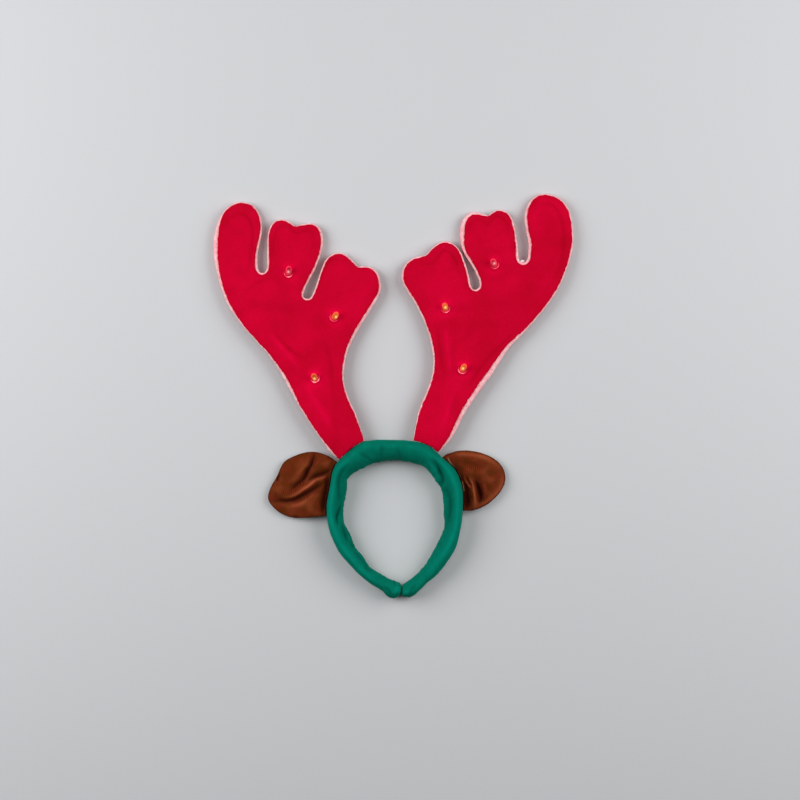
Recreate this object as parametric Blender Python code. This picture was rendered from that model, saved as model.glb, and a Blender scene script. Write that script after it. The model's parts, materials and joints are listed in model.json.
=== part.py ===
"""Reindeer antler headband, lying on the edge of its band as it comes to rest on a table.

A padded band in a green cloth sleeve bends into an open loop that goes over the head. Two antlers of foam
board faced with felt stand on the crown of the loop, with three small lamps each, and a padded cloth ear
sits on each side of the band. X is the headband's width, Y runs from the band's tips to the antlers' tips
and Z is up from the table. Sizes are in millimetres and become metres where a mesh or a place is made.
Every solid is a loft: a row of rings, each bridged to the next.
"""

import math
from collections import namedtuple

import bmesh
import bpy

MM = 0.001
PIECE_GAP = 0.3
FACET_TURN = 12.0
SMOOTH_ANGLE = math.radians(50)

# Band: the cloth sleeve stands higher at the crown than at its two tips
CROWN_HEIGHT = 27.0
TIP_HEIGHT = 20.0
CROWN_Y = -55.0
TIP_Y = -195.0
STEPS_PER_SECTION = 2

BandSection = namedtuple("BandSection", "inner_x inner_y outer_x outer_y")
BAND_SECTIONS = [BandSection(*row) for row in (
    (5.8, -186.6, 5.6, -199.9),
    (0.6, -185.0, -1.0, -202.3),
    (-5.6, -182.0, -10.0, -195.2),
    (-15.2, -176.5, -22.0, -188.0),
    (-23.5, -171.0, -33.5, -179.0),
    (-30.0, -160.5, -45.0, -166.8),
    (-37.5, -151.9, -52.2, -158.6),
    (-40.4, -144.3, -56.8, -151.0),
    (-44.1, -135.8, -61.9, -139.5),
    (-49.1, -126.0, -65.2, -126.6),
    (-49.4, -110.0, -66.1, -109.0),
    (-45.9, -93.0, -62.7, -90.0),
    (-45.5, -83.0, -60.8, -77.5),
    (-39.0, -76.5, -56.5, -67.5),
    (-31.0, -72.8, -45.5, -56.5),
    (-19.4, -67.3, -28.5, -45.0),
    (0.0, -64.0, -2.0, -43.8),
    (18.0, -66.6, 20.0, -45.0),
    (29.7, -70.2, 37.0, -50.5),
    (37.0, -77.0, 51.0, -63.3),
    (42.4, -84.9, 62.0, -73.5),
    (47.8, -93.3, 68.2, -88.0),
    (50.2, -103.1, 70.0, -102.0),
    (50.8, -119.9, 69.2, -121.1),
    (51.4, -130.9, 67.7, -132.4),
    (46.7, -143.0, 64.1, -148.2),
    (41.3, -153.5, 58.0, -160.6),
    (33.0, -168.0, 44.7, -178.4),
    (26.0, -176.0, 34.5, -186.5),
    (17.6, -183.6, 22.6, -198.0),
    (11.2, -188.0, 11.4, -201.2),
)]

# Band's section: across runs from -1 at the head to 1 outside, up from 0 on the table to 1 at the ridge
ProfilePoint = namedtuple("ProfilePoint", "across up")
BAND_PROFILE = [ProfilePoint(*row) for row in (
    (-0.45, 0.00),
    (0.45, 0.00),
    (0.80, 0.06),
    (0.97, 0.24),
    (1.00, 0.46),
    (0.98, 0.66),
    (0.86, 0.84),
    (0.64, 0.96),
    (0.34, 1.00),
    (0.02, 0.97),
    (-0.32, 0.90),
    (-0.62, 0.79),
    (-0.86, 0.63),
    (-0.99, 0.43),
    (-0.98, 0.22),
    (-0.80, 0.06),
)]

# Rounding of the band's tips: how far a ring lies past the last section, and its share of the section
TipRing = namedtuple("TipRing", "past share")
TIP_RINGS = [TipRing(*row) for row in (
    (1.6, 0.84),
    (2.4, 0.56),
)]

# Dents of the sleeve's upper side, where the cloth is drawn in
Dent = namedtuple("Dent", "x y radius depth")
BAND_DENTS = [Dent(*row) for row in (
    (-54.0, -117.0, 8.0, 3.0),
    (-46.0, -146.0, 6.0, 2.0),
    (-31.0, -166.0, 5.0, 2.5),
    (-22.0, -58.0, 8.0, 2.0),
    (46.0, -77.0, 8.0, 2.0),
    (53.0, -136.0, 6.0, 1.5),
    (30.0, -183.0, 6.0, 2.0),
)]

# Antlers: a foam board between two felt facings
FOAM_THICKNESS = 6.0
FELT_THICKNESS = 1.2
BASE_Y = -45.0
BASE_MIDDLE_HEIGHT = 12.6
BACK_RIM = 0.6
EDGE_CHAMFER = 1.2

# An outline's node gives a place, the heading of the edge there in degrees, and how much foam shows
# beyond the front felt. It runs from the outer foot over the three tines to the inner foot.
OutlineNode = namedtuple("OutlineNode", "x y heading rim")
LEFT_ANTLER = [OutlineNode(*row) for row in (
    (-51.8, -65.6, 141, 1.8),
    (-54.6, -63.4, 140, 1.8),
    (-61.5, -57.1, 133, 1.6),
    (-71.5, -44.1, 126, 1.2),
    (-93.0, -12.0, 120, 1.4),
    (-110.0, 19.0, 119, 2.5),
    (-120.8, 35.9, 128, 1.4),
    (-153.8, 74.3, 130, 1.3),
    (-176.5, 123.9, 103, 2.8),
    (-179.8, 148.0, 91, 5.0),
    (-172.2, 181.2, 63, 1.6),
    (-151.0, 194.7, 0, 1.2),
    (-131.4, 172.0, -89, 1.3),
    (-135.0, 146.0, -101, 1.7),
    (-136.0, 131.5, -88, 1.9),
    (-131.1, 123.4, 0, 2.8),
    (-126.0, 133.0, 89, 1.9),
    (-125.8, 156.0, 91, 1.4),
    (-112.4, 177.0, 0, 1.2),
    (-98.0, 170.4, -38, 1.2),
    (-98.0, 170.4, 15, 1.2),
    (-82.0, 173.2, -4, 1.4),
    (-70.0, 156.0, -90, 2.0),
    (-78.8, 126.0, -114, 1.6),
    (-90.0, 102.3, -103, 1.6),
    (-85.6, 97.2, 0, 1.8),
    (-80.3, 102.4, 66, 1.6),
    (-70.5, 130.0, 72, 1.4),
    (-55.0, 143.5, 2, 1.2),
    (-35.2, 129.5, -48, 1.2),
    (-35.2, 129.5, 8, 1.2),
    (-26.8, 130.1, -4, 1.3),
    (-12.2, 110.0, -89, 1.6),
    (-22.0, 87.0, -118, 2.4),
    (-40.5, 55.7, -119, 2.4),
    (-49.3, 22.0, -94, 1.4),
    (-37.9, -16.5, -66, 1.2),
    (-26.8, -46.0, -69, 1.2),
)]
RIGHT_ANTLER = [OutlineNode(*row) for row in (
    (44.9, -59.7, 47, 2.2),
    (46.9, -57.4, 49, 2.3),
    (55.8, -45.8, 56, 2.4),
    (64.1, -31.1, 61, 3.4),
    (72.4, -16.2, 58, 4.1),
    (103.2, 28.3, 57, 4.6),
    (113.9, 44.9, 50, 3.6),
    (137.4, 70.1, 48, 1.6),
    (164.4, 105.7, 55, 1.3),
    (172.6, 123.8, 70, 1.2),
    (180.6, 157.0, 89, 1.2),
    (177.4, 183.2, 104, 1.2),
    (151.5, 202.8, 179, 1.2),
    (132.0, 180.0, 267, 2.2),
    (136.1, 150.0, 274, 2.6),
    (135.3, 140.0, 264, 2.6),
    (129.8, 133.8, 180, 3.4),
    (125.3, 144.0, 93, 2.2),
    (122.4, 167.0, 99, 1.6),
    (107.0, 186.8, 180, 1.2),
    (94.9, 180.8, 217, 1.2),
    (94.9, 180.8, 163, 1.2),
    (82.6, 184.4, 176, 2.4),
    (67.0, 163.0, 270, 4.4),
    (69.5, 147.6, 284, 2.3),
    (79.0, 131.0, 294, 1.8),
    (87.0, 112.0, 274, 2.0),
    (82.1, 106.4, 180, 2.2),
    (77.0, 115.5, 102, 2.0),
    (70.8, 137.0, 107, 1.6),
    (52.2, 155.0, 180, 1.2),
    (31.9, 140.8, 223, 1.2),
    (31.9, 140.8, 184, 1.2),
    (16.8, 136.0, 213, 1.3),
    (8.6, 120.0, 268, 1.6),
    (19.3, 97.6, 301, 1.4),
    (37.4, 55.7, 285, 1.4),
    (40.3, 31.0, 270, 1.4),
    (27.0, -11.6, 248, 1.2),
    (14.9, -45.8, 250, 1.2),
)]
ANTLERS = {"left": LEFT_ANTLER, "right": RIGHT_ANTLER}

# Lamps: a lens leaning out of a flat collar on the front felt, and where its tip leans to
Lamp = namedtuple("Lamp", "x y lean_x lean_y")
LAMPS = {
    "left": [Lamp(*row) for row in (
        (-104.5, 123.0, 0.8, 5.2),
        (-58.7, 78.7, 2.9, 3.5),
        (-78.0, 17.7, -1.2, 2.8),
    )],
    "right": [Lamp(*row) for row in (
        (101.5, 131.5, -2.2, 3.9),
        (52.5, 87.5, -1.3, 3.8),
        (69.5, 26.5, 2.0, 3.9),
    )],
}
LAMP_SIDES = 12
LENS_NECK = 1.8
TurnedPoint = namedtuple("TurnedPoint", "radius height")
LENS_PROFILE = [TurnedPoint(*row) for row in (
    (3.0, 0.0),
    (3.0, LENS_NECK),
    (3.0, 4.2),
    (2.7, 5.7),
    (1.8, 6.8),
    (0.6, 7.3),
)]
COLLAR_PROFILE = [TurnedPoint(*row) for row in (
    (3.3, 0.0),
    (4.9, 0.0),
    (4.9, 0.8),
    (4.3, 1.5),
    (3.3, 1.5),
)]

# Ears: two layers of pile cloth round a filling, lying out from the band to the table
EAR_SEAM_THICKNESS = 2.2
EAR_FILLED_THICKNESS = 10.5
EAR_FILLING_REACH = 9.0
EAR_SEAM_HEIGHT = 4.2
EAR_ROOT_HEIGHT = 12.0
EAR_ROOT_REACH = 26.0
EAR_RINGS = (0.14, 0.36, 0.56, 0.74, 0.88, 1.0)
LEFT_EAR = [OutlineNode(*row) for row in (
    (-54.5, -66.3, 152, 0),
    (-57.8, -64.6, 152, 0),
    (-67.0, -59.0, 156, 0),
    (-81.0, -55.8, 180, 0),
    (-98.6, -60.0, 203, 0),
    (-109.5, -66.5, 226, 0),
    (-115.7, -78.9, 243, 0),
    (-122.8, -91.7, 244, 0),
    (-125.4, -101.0, 265, 0),
    (-119.4, -112.4, 314, 0),
    (-101.0, -121.8, 350, 0),
    (-78.5, -121.0, 3, 0),
    (-64.0, -118.0, 12, 0),
)]
RIGHT_EAR = [OutlineNode(*row) for row in (
    (48.0, -61.4, 25, 0),
    (50.6, -60.1, 25, 0),
    (58.5, -56.7, 20, 0),
    (70.0, -54.5, 0, 0),
    (101.5, -63.0, -33, 0),
    (112.8, -82.0, -90, 0),
    (102.5, -102.1, -135, 0),
    (76.0, -115.0, -176, 0),
    (68.5, -112.5, 150, 0),
)]

# Folds of an ear's upper side: straight valleys, drawn in where the ear is sewn to the band
Fold = namedtuple("Fold", "x y to_x to_y width depth")
EAR_FOLDS = {
    "left": [Fold(*row) for row in (
        (-79.6, -59.5, -85.5, -78.0, 3.6, 4.0),
        (-85.5, -78.0, -98.0, -90.0, 3.8, 4.0),
        (-98.0, -90.0, -110.0, -99.0, 3.4, 2.2),
        (-64.0, -78.4, -81.3, -83.0, 2.8, 3.2),
        (-75.6, -90.0, -87.0, -98.0, 3.6, 5.0),
        (-87.0, -98.0, -99.0, -103.7, 3.4, 4.6),
        (-99.0, -103.7, -120.0, -106.0, 3.0, 3.0),
        (-64.0, -74.0, -70.5, -117.0, 4.5, 4.0),
    )],
    "right": [Fold(*row) for row in (
        (62.0, -74.0, 73.0, -90.0, 3.6, 4.6),
        (73.0, -90.0, 72.0, -111.0, 5.0, 6.0),
        (80.3, -84.4, 86.0, -93.5, 3.0, 4.0),
        (86.0, -93.5, 87.0, -105.0, 3.0, 4.4),
        (73.5, -80.0, 77.6, -89.0, 2.4, 2.6),
        (77.0, -66.0, 81.0, -70.0, 7.0, 1.5),
    )],
}
EARS = {"left": LEFT_EAR, "right": RIGHT_EAR}

# Colours and roughness of the materials
MaterialLook = namedtuple("MaterialLook", "red green blue roughness")
LOOKS = {
    "green_fabric": MaterialLook(0.0, 0.18, 0.11, 0.85),
    "red_felt": MaterialLook(0.61, 0.0, 0.024, 0.95),
    "foam_edge": MaterialLook(0.95, 0.48, 0.5, 0.9),
    "brown_fabric": MaterialLook(0.19, 0.038, 0.015, 0.9),
    "led_lens": MaterialLook(1.0, 0.35, 0.06, 0.15),
    "led_collar": MaterialLook(0.9, 0.42, 0.4, 0.3),
}


def clear_scene():
    for item in list(bpy.data.objects):
        bpy.data.objects.remove(item)


def make_material(name):
    look = LOOKS[name]
    material = bpy.data.materials.new(name)
    material.use_nodes = True
    shader = material.node_tree.nodes["Principled BSDF"]
    shader.inputs["Base Color"].default_value = (look.red, look.green, look.blue, 1.0)
    shader.inputs["Roughness"].default_value = look.roughness
    return material


def add_loft(name, rings, material, parent=None, ring_of_rings=False):
    """Make one closed solid by bridging each ring of points to the next, with both ends filled."""
    shape = bmesh.new()
    corners = [[shape.verts.new([value * MM for value in point]) for point in ring] for ring in rings]
    pairs = list(zip(corners, corners[1:]))
    if ring_of_rings:
        pairs.append((corners[-1], corners[0]))
    else:
        shape.faces.new(corners[0])
        shape.faces.new(corners[-1])
    for first, second in pairs:
        for index in range(len(first)):
            shape.faces.new((first[index - 1], first[index], second[index], second[index - 1]))
    bmesh.ops.recalc_face_normals(shape, faces=shape.faces)
    mesh = bpy.data.meshes.new(name)
    shape.to_mesh(mesh)
    shape.free()
    mesh.shade_smooth()
    mesh.set_sharp_from_angle(angle=SMOOTH_ANGLE)
    mesh.materials.append(material)
    piece = bpy.data.objects.new(name, mesh)
    piece.parent = parent
    bpy.context.scene.collection.objects.link(piece)
    return piece


def turn_between(first, second):
    """Degrees from one heading to another, the short way round."""
    return (second - first + 180.0) % 360.0 - 180.0


def trace_outline(nodes):
    """Points along the smooth edge through the nodes. Two nodes in one place make a sharp corner."""
    points = [(nodes[0].x, nodes[0].y, nodes[0].rim)]
    for start, end in zip(nodes, nodes[1:]):
        chord = math.dist((start.x, start.y), (end.x, end.y))
        if chord == 0.0:
            continue
        course = math.degrees(math.atan2(end.y - start.y, end.x - start.x))
        bend = abs(turn_between(start.heading, course)) + abs(turn_between(course, end.heading))
        reach = chord * 2.0 / 3.0 / (1.0 + math.cos(math.radians(bend) / 2.0))
        leave = math.radians(start.heading)
        arrive = math.radians(end.heading)
        pull_x = start.x + reach * math.cos(leave), end.x - reach * math.cos(arrive)
        pull_y = start.y + reach * math.sin(leave), end.y - reach * math.sin(arrive)
        steps = max(1, math.ceil(bend / FACET_TURN))
        for step in range(1, steps + 1):
            share = step / steps
            rest = 1.0 - share
            weights = rest ** 3, 3 * rest ** 2 * share, 3 * rest * share ** 2, share ** 3
            x = sum(w * v for w, v in zip(weights, (start.x, *pull_x, end.x)))
            y = sum(w * v for w, v in zip(weights, (start.y, *pull_y, end.y)))
            points.append((x, y, rest * start.rim + share * end.rim))
    return points


def between_rows(before, start, end, after, share):
    """A smooth curve's value between start and end, led by the rows on both sides."""
    drift = end - before
    curve = 2 * before - 5 * start + 4 * end - after
    twist = 3 * start - before - 3 * end + after
    return start + 0.5 * share * (drift + share * (curve + share * twist))


def band_sections():
    """The band's sections, with smooth ones worked out between the rows of the table."""
    rows = [BAND_SECTIONS[0], *BAND_SECTIONS, BAND_SECTIONS[-1]]
    sections = []
    for index in range(1, len(rows) - 2):
        for step in range(STEPS_PER_SECTION):
            share = step / STEPS_PER_SECTION
            columns = zip(rows[index - 1], rows[index], rows[index + 1], rows[index + 2])
            sections.append(BandSection(*(between_rows(*column, share) for column in columns)))
    sections.append(BAND_SECTIONS[-1])
    return sections


def band_height(y):
    share = (y - TIP_Y) / (CROWN_Y - TIP_Y)
    return TIP_HEIGHT + (CROWN_HEIGHT - TIP_HEIGHT) * min(1.0, max(0.0, share))


def dent_depth(x, y):
    return sum(dent.depth * math.exp(-((x - dent.x) ** 2 + (y - dent.y) ** 2) / dent.radius ** 2)
               for dent in BAND_DENTS)


def band_ring(section):
    """One ring of the sleeve: the profile laid across the band, dented on its upper side."""
    middle_x = (section.inner_x + section.outer_x) / 2
    middle_y = (section.inner_y + section.outer_y) / 2
    half_x = (section.outer_x - section.inner_x) / 2
    half_y = (section.outer_y - section.inner_y) / 2
    height = band_height(middle_y)
    ring = []
    for point in BAND_PROFILE:
        x = middle_x + half_x * point.across
        y = middle_y + half_y * point.across
        ring.append((x, y, height * point.up - dent_depth(x, y) * point.up ** 4))
    return ring


def tip_rings(ring, direction):
    """Smaller rings past a tip's last ring, which round it off."""
    centre = [sum(values) / len(ring) for values in zip(*ring)]
    return [[(centre[0] + (x - centre[0]) * tip.share + direction * tip.past,
              centre[1] + (y - centre[1]) * tip.share,
              centre[2] + (z - centre[2]) * tip.share) for x, y, z in ring] for tip in TIP_RINGS]


def add_band(sections, material):
    rings = [band_ring(section) for section in sections]
    left_tip = tip_rings(rings[0], 1.0)
    right_tip = tip_rings(rings[-1], -1.0)
    add_loft("band_sleeve", left_tip[::-1] + rings + right_tip, material)


def seat_edge(sections):
    """The band's outer edge moved out by the gap that a piece sewn to it keeps."""
    edge = [(section.outer_x, section.outer_y) for section in sections]
    seat = []
    for index, (x, y) in enumerate(edge):
        before = edge[max(index - 1, 0)]
        after = edge[min(index + 1, len(edge) - 1)]
        along = math.dist(before, after)
        seat.append((x - PIECE_GAP * (after[1] - before[1]) / along,
                     y + PIECE_GAP * (after[0] - before[0]) / along))
    return seat


def nearest_on_seat(seat, x, y):
    """Where on the seat a point is nearest, counted in seat points, and how far outside it lies."""
    best_place = 0.0
    best_distance = math.inf
    best_side = 1.0
    for index, (start, end) in enumerate(zip(seat, seat[1:])):
        run = end[0] - start[0], end[1] - start[1]
        length_squared = run[0] ** 2 + run[1] ** 2
        share = ((x - start[0]) * run[0] + (y - start[1]) * run[1]) / length_squared
        share = min(1.0, max(0.0, share))
        foot = start[0] + run[0] * share, start[1] + run[1] * share
        distance = math.dist(foot, (x, y))
        if distance < best_distance:
            best_distance = distance
            best_place = index + share
            cross = run[0] * (y - foot[1]) - run[1] * (x - foot[0])
            best_side = math.copysign(1.0, cross)
    return best_place, best_side * best_distance


def point_on_seat(seat, place):
    index = min(int(place), len(seat) - 2)
    share = place - index
    start, end = seat[index], seat[index + 1]
    return start[0] + (end[0] - start[0]) * share, start[1] + (end[1] - start[1]) * share


def close_on_band(path, seat, clearance=1.0):
    """Cut an open outline where it meets the band, close it along the seat and turn it counter-clockwise."""
    kept = [point for point in path if nearest_on_seat(seat, point[0], point[1])[1] > clearance]
    last_place = nearest_on_seat(seat, kept[-1][0], kept[-1][1])[0]
    first_place = nearest_on_seat(seat, kept[0][0], kept[0][1])[0]
    low, high = sorted((last_place, first_place))
    places = [low, *range(math.floor(low) + 1, math.ceil(high)), high]
    if last_place > first_place:
        places.reverse()
    seated = [(*point_on_seat(seat, place), 0.0) for place in places]
    outline = kept + seated
    area = sum(first[0] * second[1] - second[0] * first[1] for first, second in zip(outline, outline[1:]))
    if area < 0.0:
        outline.reverse()
    return outline


def inset_outline(outline, insets):
    """Move each point of a counter-clockwise outline inwards by its own distance."""
    moved = []
    count = len(outline)
    for index, (point, inset) in enumerate(zip(outline, insets)):
        before = outline[index - 1]
        after = outline[(index + 1) % count]
        along = math.dist(before[:2], after[:2])
        inward_x = -(after[1] - before[1]) / along
        inward_y = (after[0] - before[0]) / along
        moved.append((point[0] + inward_x * inset, point[1] + inward_y * inset))
    return moved


def level_ring(outline, height):
    """An outline's points in the antler's own frame, whose origin is the line of its feet."""
    return [(point[0], point[1] - BASE_Y, height) for point in outline]


def add_antler_frame(side, tip_y):
    """An empty at the antler's feet, tipped so that the tines' tips come down to the table."""
    half_thickness = FOAM_THICKNESS / 2 + PIECE_GAP + FELT_THICKNESS
    frame = bpy.data.objects.new(f"antler_{side}_frame", None)
    frame.location = (0.0, BASE_Y * MM, BASE_MIDDLE_HEIGHT * MM)
    frame.rotation_euler = (-math.asin((BASE_MIDDLE_HEIGHT - half_thickness) / (tip_y - BASE_Y)), 0.0, 0.0)
    bpy.context.scene.collection.objects.link(frame)
    return frame


def add_antler(side, seat, materials):
    outline = close_on_band(trace_outline(ANTLERS[side]), seat)
    frame = add_antler_frame(side, max(point[1] for point in outline))
    rims = [point[2] for point in outline]
    foam_top = FOAM_THICKNESS / 2
    foam_shoulder = foam_top - EDGE_CHAMFER
    felt_bottom = foam_top + PIECE_GAP
    felt_top = felt_bottom + FELT_THICKNESS
    front = inset_outline(outline, rims)
    back = inset_outline(outline, [min(rim, BACK_RIM) for rim in rims])
    add_loft(f"antler_{side}_foam", [
        level_ring(back, -foam_top),
        level_ring(outline, -foam_shoulder),
        level_ring(outline, foam_shoulder),
        level_ring(front, foam_top),
    ], materials["foam_edge"], frame)
    add_loft(f"antler_{side}_front_felt", [
        level_ring(front, felt_bottom),
        level_ring(front, felt_top),
    ], materials["red_felt"], frame)
    add_loft(f"antler_{side}_back_felt", [
        level_ring(back, -felt_top),
        level_ring(back, -felt_bottom),
    ], materials["red_felt"], frame)
    for number, lamp in enumerate(LAMPS[side], start=1):
        add_lamp(f"lamp_{side}_{number}", lamp, felt_top + PIECE_GAP, materials, frame)


def turned_ring(lamp, point, base):
    """A round of points about a lamp's middle, moved by the lens's lean above its neck."""
    lean = max(0.0, point.height - LENS_NECK) / (LENS_PROFILE[-1].height - LENS_NECK)
    ring = []
    for step in range(LAMP_SIDES):
        angle = 2.0 * math.pi * step / LAMP_SIDES
        ring.append((lamp.x + lamp.lean_x * lean + point.radius * math.cos(angle),
                     lamp.y - BASE_Y + lamp.lean_y * lean + point.radius * math.sin(angle),
                     base + point.height))
    return ring


def add_lamp(name, lamp, base, materials, frame):
    lens = [turned_ring(lamp, point, base) for point in LENS_PROFILE]
    add_loft(f"{name}_lens", lens, materials["led_lens"], frame)
    collar = [turned_ring(lamp, point, base) for point in COLLAR_PROFILE]
    add_loft(f"{name}_collar", collar, materials["led_collar"], frame, ring_of_rings=True)


def distance_to_run(x, y, start, end):
    """How far a point is from the straight run between two others."""
    run = end[0] - start[0], end[1] - start[1]
    length_squared = run[0] ** 2 + run[1] ** 2
    share = ((x - start[0]) * run[0] + (y - start[1]) * run[1]) / length_squared if length_squared else 0.0
    share = min(1.0, max(0.0, share))
    return math.dist((x, y), (start[0] + run[0] * share, start[1] + run[1] * share))


def fold_depth(side, x, y):
    depths = []
    for fold in EAR_FOLDS[side]:
        distance = distance_to_run(x, y, (fold.x, fold.y), (fold.to_x, fold.to_y))
        depths.append(fold.depth * math.exp(-(distance / fold.width) ** 2))
    return max(depths)


def ear_heights(side, x, y, free_edge, seat):
    """Lower and upper height of an ear: thin at its seam, raised at the band, flat where it rests."""
    from_seam = min(distance_to_run(x, y, start, end) for start, end in zip(free_edge, free_edge[1:]))
    from_band = max(0.0, nearest_on_seat(seat, x, y)[1])
    filling = 1.0 - math.exp(-(from_seam / EAR_FILLING_REACH))
    thickness = EAR_SEAM_THICKNESS + (EAR_FILLED_THICKNESS - EAR_SEAM_THICKNESS) * filling
    raised = math.exp(-(from_band / EAR_ROOT_REACH) ** 2)
    middle = EAR_SEAM_HEIGHT + (EAR_ROOT_HEIGHT - EAR_SEAM_HEIGHT) * raised
    lower = max(0.0, middle - thickness / 2)
    upper = middle + thickness / 2 - fold_depth(side, x, y) * filling
    return lower, max(upper, lower + EAR_SEAM_THICKNESS)


def add_ear(side, seat, material):
    path = trace_outline(EARS[side])
    outline = close_on_band(path, seat)
    free_edge = [point[:2] for point in path if nearest_on_seat(seat, point[0], point[1])[1] > 0.0]
    middle_x = sum(point[0] for point in outline) / len(outline)
    middle_y = sum(point[1] for point in outline) / len(outline)
    upper_rings = []
    lower_rings = []
    for share in EAR_RINGS:
        upper_ring = []
        lower_ring = []
        for point in outline:
            x = middle_x + (point[0] - middle_x) * share
            y = middle_y + (point[1] - middle_y) * share
            lower, upper = ear_heights(side, x, y, free_edge, seat)
            upper_ring.append((x, y, upper))
            lower_ring.append((x, y, lower))
        upper_rings.append(upper_ring)
        lower_rings.append(lower_ring)
    add_loft(f"ear_{side}", upper_rings + lower_rings[::-1], material)


def main():
    clear_scene()
    materials = {name: make_material(name) for name in LOOKS}
    sections = band_sections()
    seat = seat_edge(sections)
    add_band(sections, materials["green_fabric"])
    for side in ANTLERS:
        add_antler(side, seat, materials)
        add_ear(side, seat, materials["brown_fabric"])


main()
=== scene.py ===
"""Reindeer antler headband, dressed round its CAD solids and seen from straight above.

Every soft solid of the frame is replaced by a finer piece that is worked out from it: felt facings and the
cut foam edge of the antlers, the gathered sleeve of the band, the two ears and the six lamps. Work is done
in millimetres in the frame's own axes and becomes metres where a mesh is made.
"""

import json
import math
from collections import namedtuple

import bmesh
import bpy
import numpy as np
from mathutils import Matrix, Vector, kdtree, noise
from mathutils.bvhtree import BVHTree
from mathutils.geometry import delaunay_2d_cdt

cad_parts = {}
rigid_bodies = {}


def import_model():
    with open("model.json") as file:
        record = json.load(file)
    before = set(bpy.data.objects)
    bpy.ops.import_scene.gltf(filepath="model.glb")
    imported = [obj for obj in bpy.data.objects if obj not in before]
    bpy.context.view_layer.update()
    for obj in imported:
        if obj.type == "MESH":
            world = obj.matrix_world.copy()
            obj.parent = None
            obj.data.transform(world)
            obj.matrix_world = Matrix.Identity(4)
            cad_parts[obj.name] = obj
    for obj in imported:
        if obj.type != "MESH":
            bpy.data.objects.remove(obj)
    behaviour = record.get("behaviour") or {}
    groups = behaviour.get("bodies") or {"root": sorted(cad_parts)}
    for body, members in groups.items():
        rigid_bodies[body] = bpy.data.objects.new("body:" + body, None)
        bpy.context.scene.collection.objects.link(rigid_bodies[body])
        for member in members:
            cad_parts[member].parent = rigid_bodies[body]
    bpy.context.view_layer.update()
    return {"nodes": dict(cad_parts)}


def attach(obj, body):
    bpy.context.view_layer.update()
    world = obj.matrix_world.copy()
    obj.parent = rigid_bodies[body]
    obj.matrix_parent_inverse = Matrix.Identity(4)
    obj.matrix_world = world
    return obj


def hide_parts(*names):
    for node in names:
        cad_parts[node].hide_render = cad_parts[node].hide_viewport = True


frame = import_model()

MM = 0.001
SIDES = ("left", "right")

# Camera: 800 mm of the table fill the picture's 800 pixels at the height where the outlines lie
CAMERA_HEIGHT = 2.4
OUTLINE_HEIGHT = 0.012
VIEW_WIDTH = 0.8
SENSOR_WIDTH = 36.0
VIEW_MIDDLE = (0.007, -0.004)

# Stage
FLOOR_HALF_WIDTH = 4.0
Lamp = namedtuple("Lamp", "name x y z width power")
STUDIO_LAMPS = (
    Lamp("soft_left", -1.2, 0.35, 1.0, 1.3, 22.5),
    Lamp("soft_right", 1.2, 0.35, 1.0, 1.3, 19.5),
    Lamp("soft_top", 0.0, 0.5, 1.8, 0.8, 3.0),
)
SKY_STRENGTH = 0.07

# Cut edges
RING_STEP = 1.2
CORNER_TURN = math.radians(32)
STRAIGHT_TURN = math.radians(1.0)
FELT_GRID = 1.6
FELT_THICKNESS = 1.2
FOAM_HALF = 3.0
BOARD_GAP = 0.04

# Rows of a profile: how far across and how far up each lies
Row = namedtuple("Row", "across up")


def profile(*rows):
    return [Row(*row) for row in rows]


FELT_EDGE = profile((0.45, 0.0), (0.0, 0.12), (0.0, 0.70), (0.18, 1.02), (0.55, FELT_THICKNESS))

# Cut wall of the foam: how far it lies from the board's outline (0) towards the front felt's (1), by height
FOAM_WALL = profile((1.0, 2.6), (1.0, 3.0), (0.72, 2.96), (0.42, 2.72), (0.18, 2.30), (0.04, 1.65),
                    (0.0, 0.9), (0.0, 0.0), (0.0, -0.9), (0.02, -1.7))
WALL_CUT_BELOW = 0.9
FOAM_LOWER_EDGE = profile((0.35, -2.6), (0.75, -3.0))
FOAM_TOP_INSET = 1.6

# Cloth simulation: padded shells are blown up at ten times their size, with their creases and seams held
CLOTH_SCALE = 0.01
CLOTH_FRAMES = 16
CLOTH_REACH = 3.0
CLOTH_SETTINGS = {
    "quality": 5, "mass": 0.2, "air_damping": 2.0, "tension_stiffness": 20.0, "compression_stiffness": 12.0,
    "shear_stiffness": 6.0, "bending_stiffness": 0.4, "vertex_group_mass": "held", "pin_stiffness": 1.0,
    "use_pressure": True, "uniform_pressure_force": 3.0, "shrink_min": -0.03,
}

# Band's middle line from the left tip over the crown to the right tip
BAND_MIDDLE = (
    (4.5, -193.0), (-0.2, -193.6), (-7.8, -188.6), (-18.6, -182.2), (-28.5, -175.0), (-37.5, -163.6),
    (-45.0, -155.2), (-52.7, -137.5), (-57.2, -126.2), (-57.9, -109.5), (-54.5, -91.5), (-53.1, -80.2),
    (-47.7, -72.0), (-38.2, -64.6), (-24.0, -56.2), (-1.0, -53.9), (19.0, -55.5), (33.5, -60.0),
    (44.2, -69.9), (52.5, -79.0), (58.4, -90.5), (60.5, -102.5), (60.3, -120.5), (54.9, -145.3),
    (49.3, -156.8), (38.7, -173.0), (30.2, -181.3), (21.2, -189.5), (11.8, -194.2),
)
BAND_STEP = 1.25
BAND_AROUND = 56
TIP_ROWS = 11
TIP_TURN = math.radians(88.0)
BAND_CORE_HEIGHT = 11.5

# Relief of the sleeve: pleats round its tips, gathers on its inner side, and still where the table grips it
TIP_PLEAT_HEIGHT = 0.3
PLEATS = 9
PLEAT_TURN = 0.6
PLEAT_HEIGHT = 0.35
PLEAT_REACH = 5.0
GATHER_LENGTH = 3.2
GATHER_HEIGHT = 0.75
SLEEVE_WAVE_LENGTH = 9.0
TABLE_GRIP = 0.4
TABLE_EASE = 4.0
BAND_CREASE_SHARE = 1.5

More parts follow.
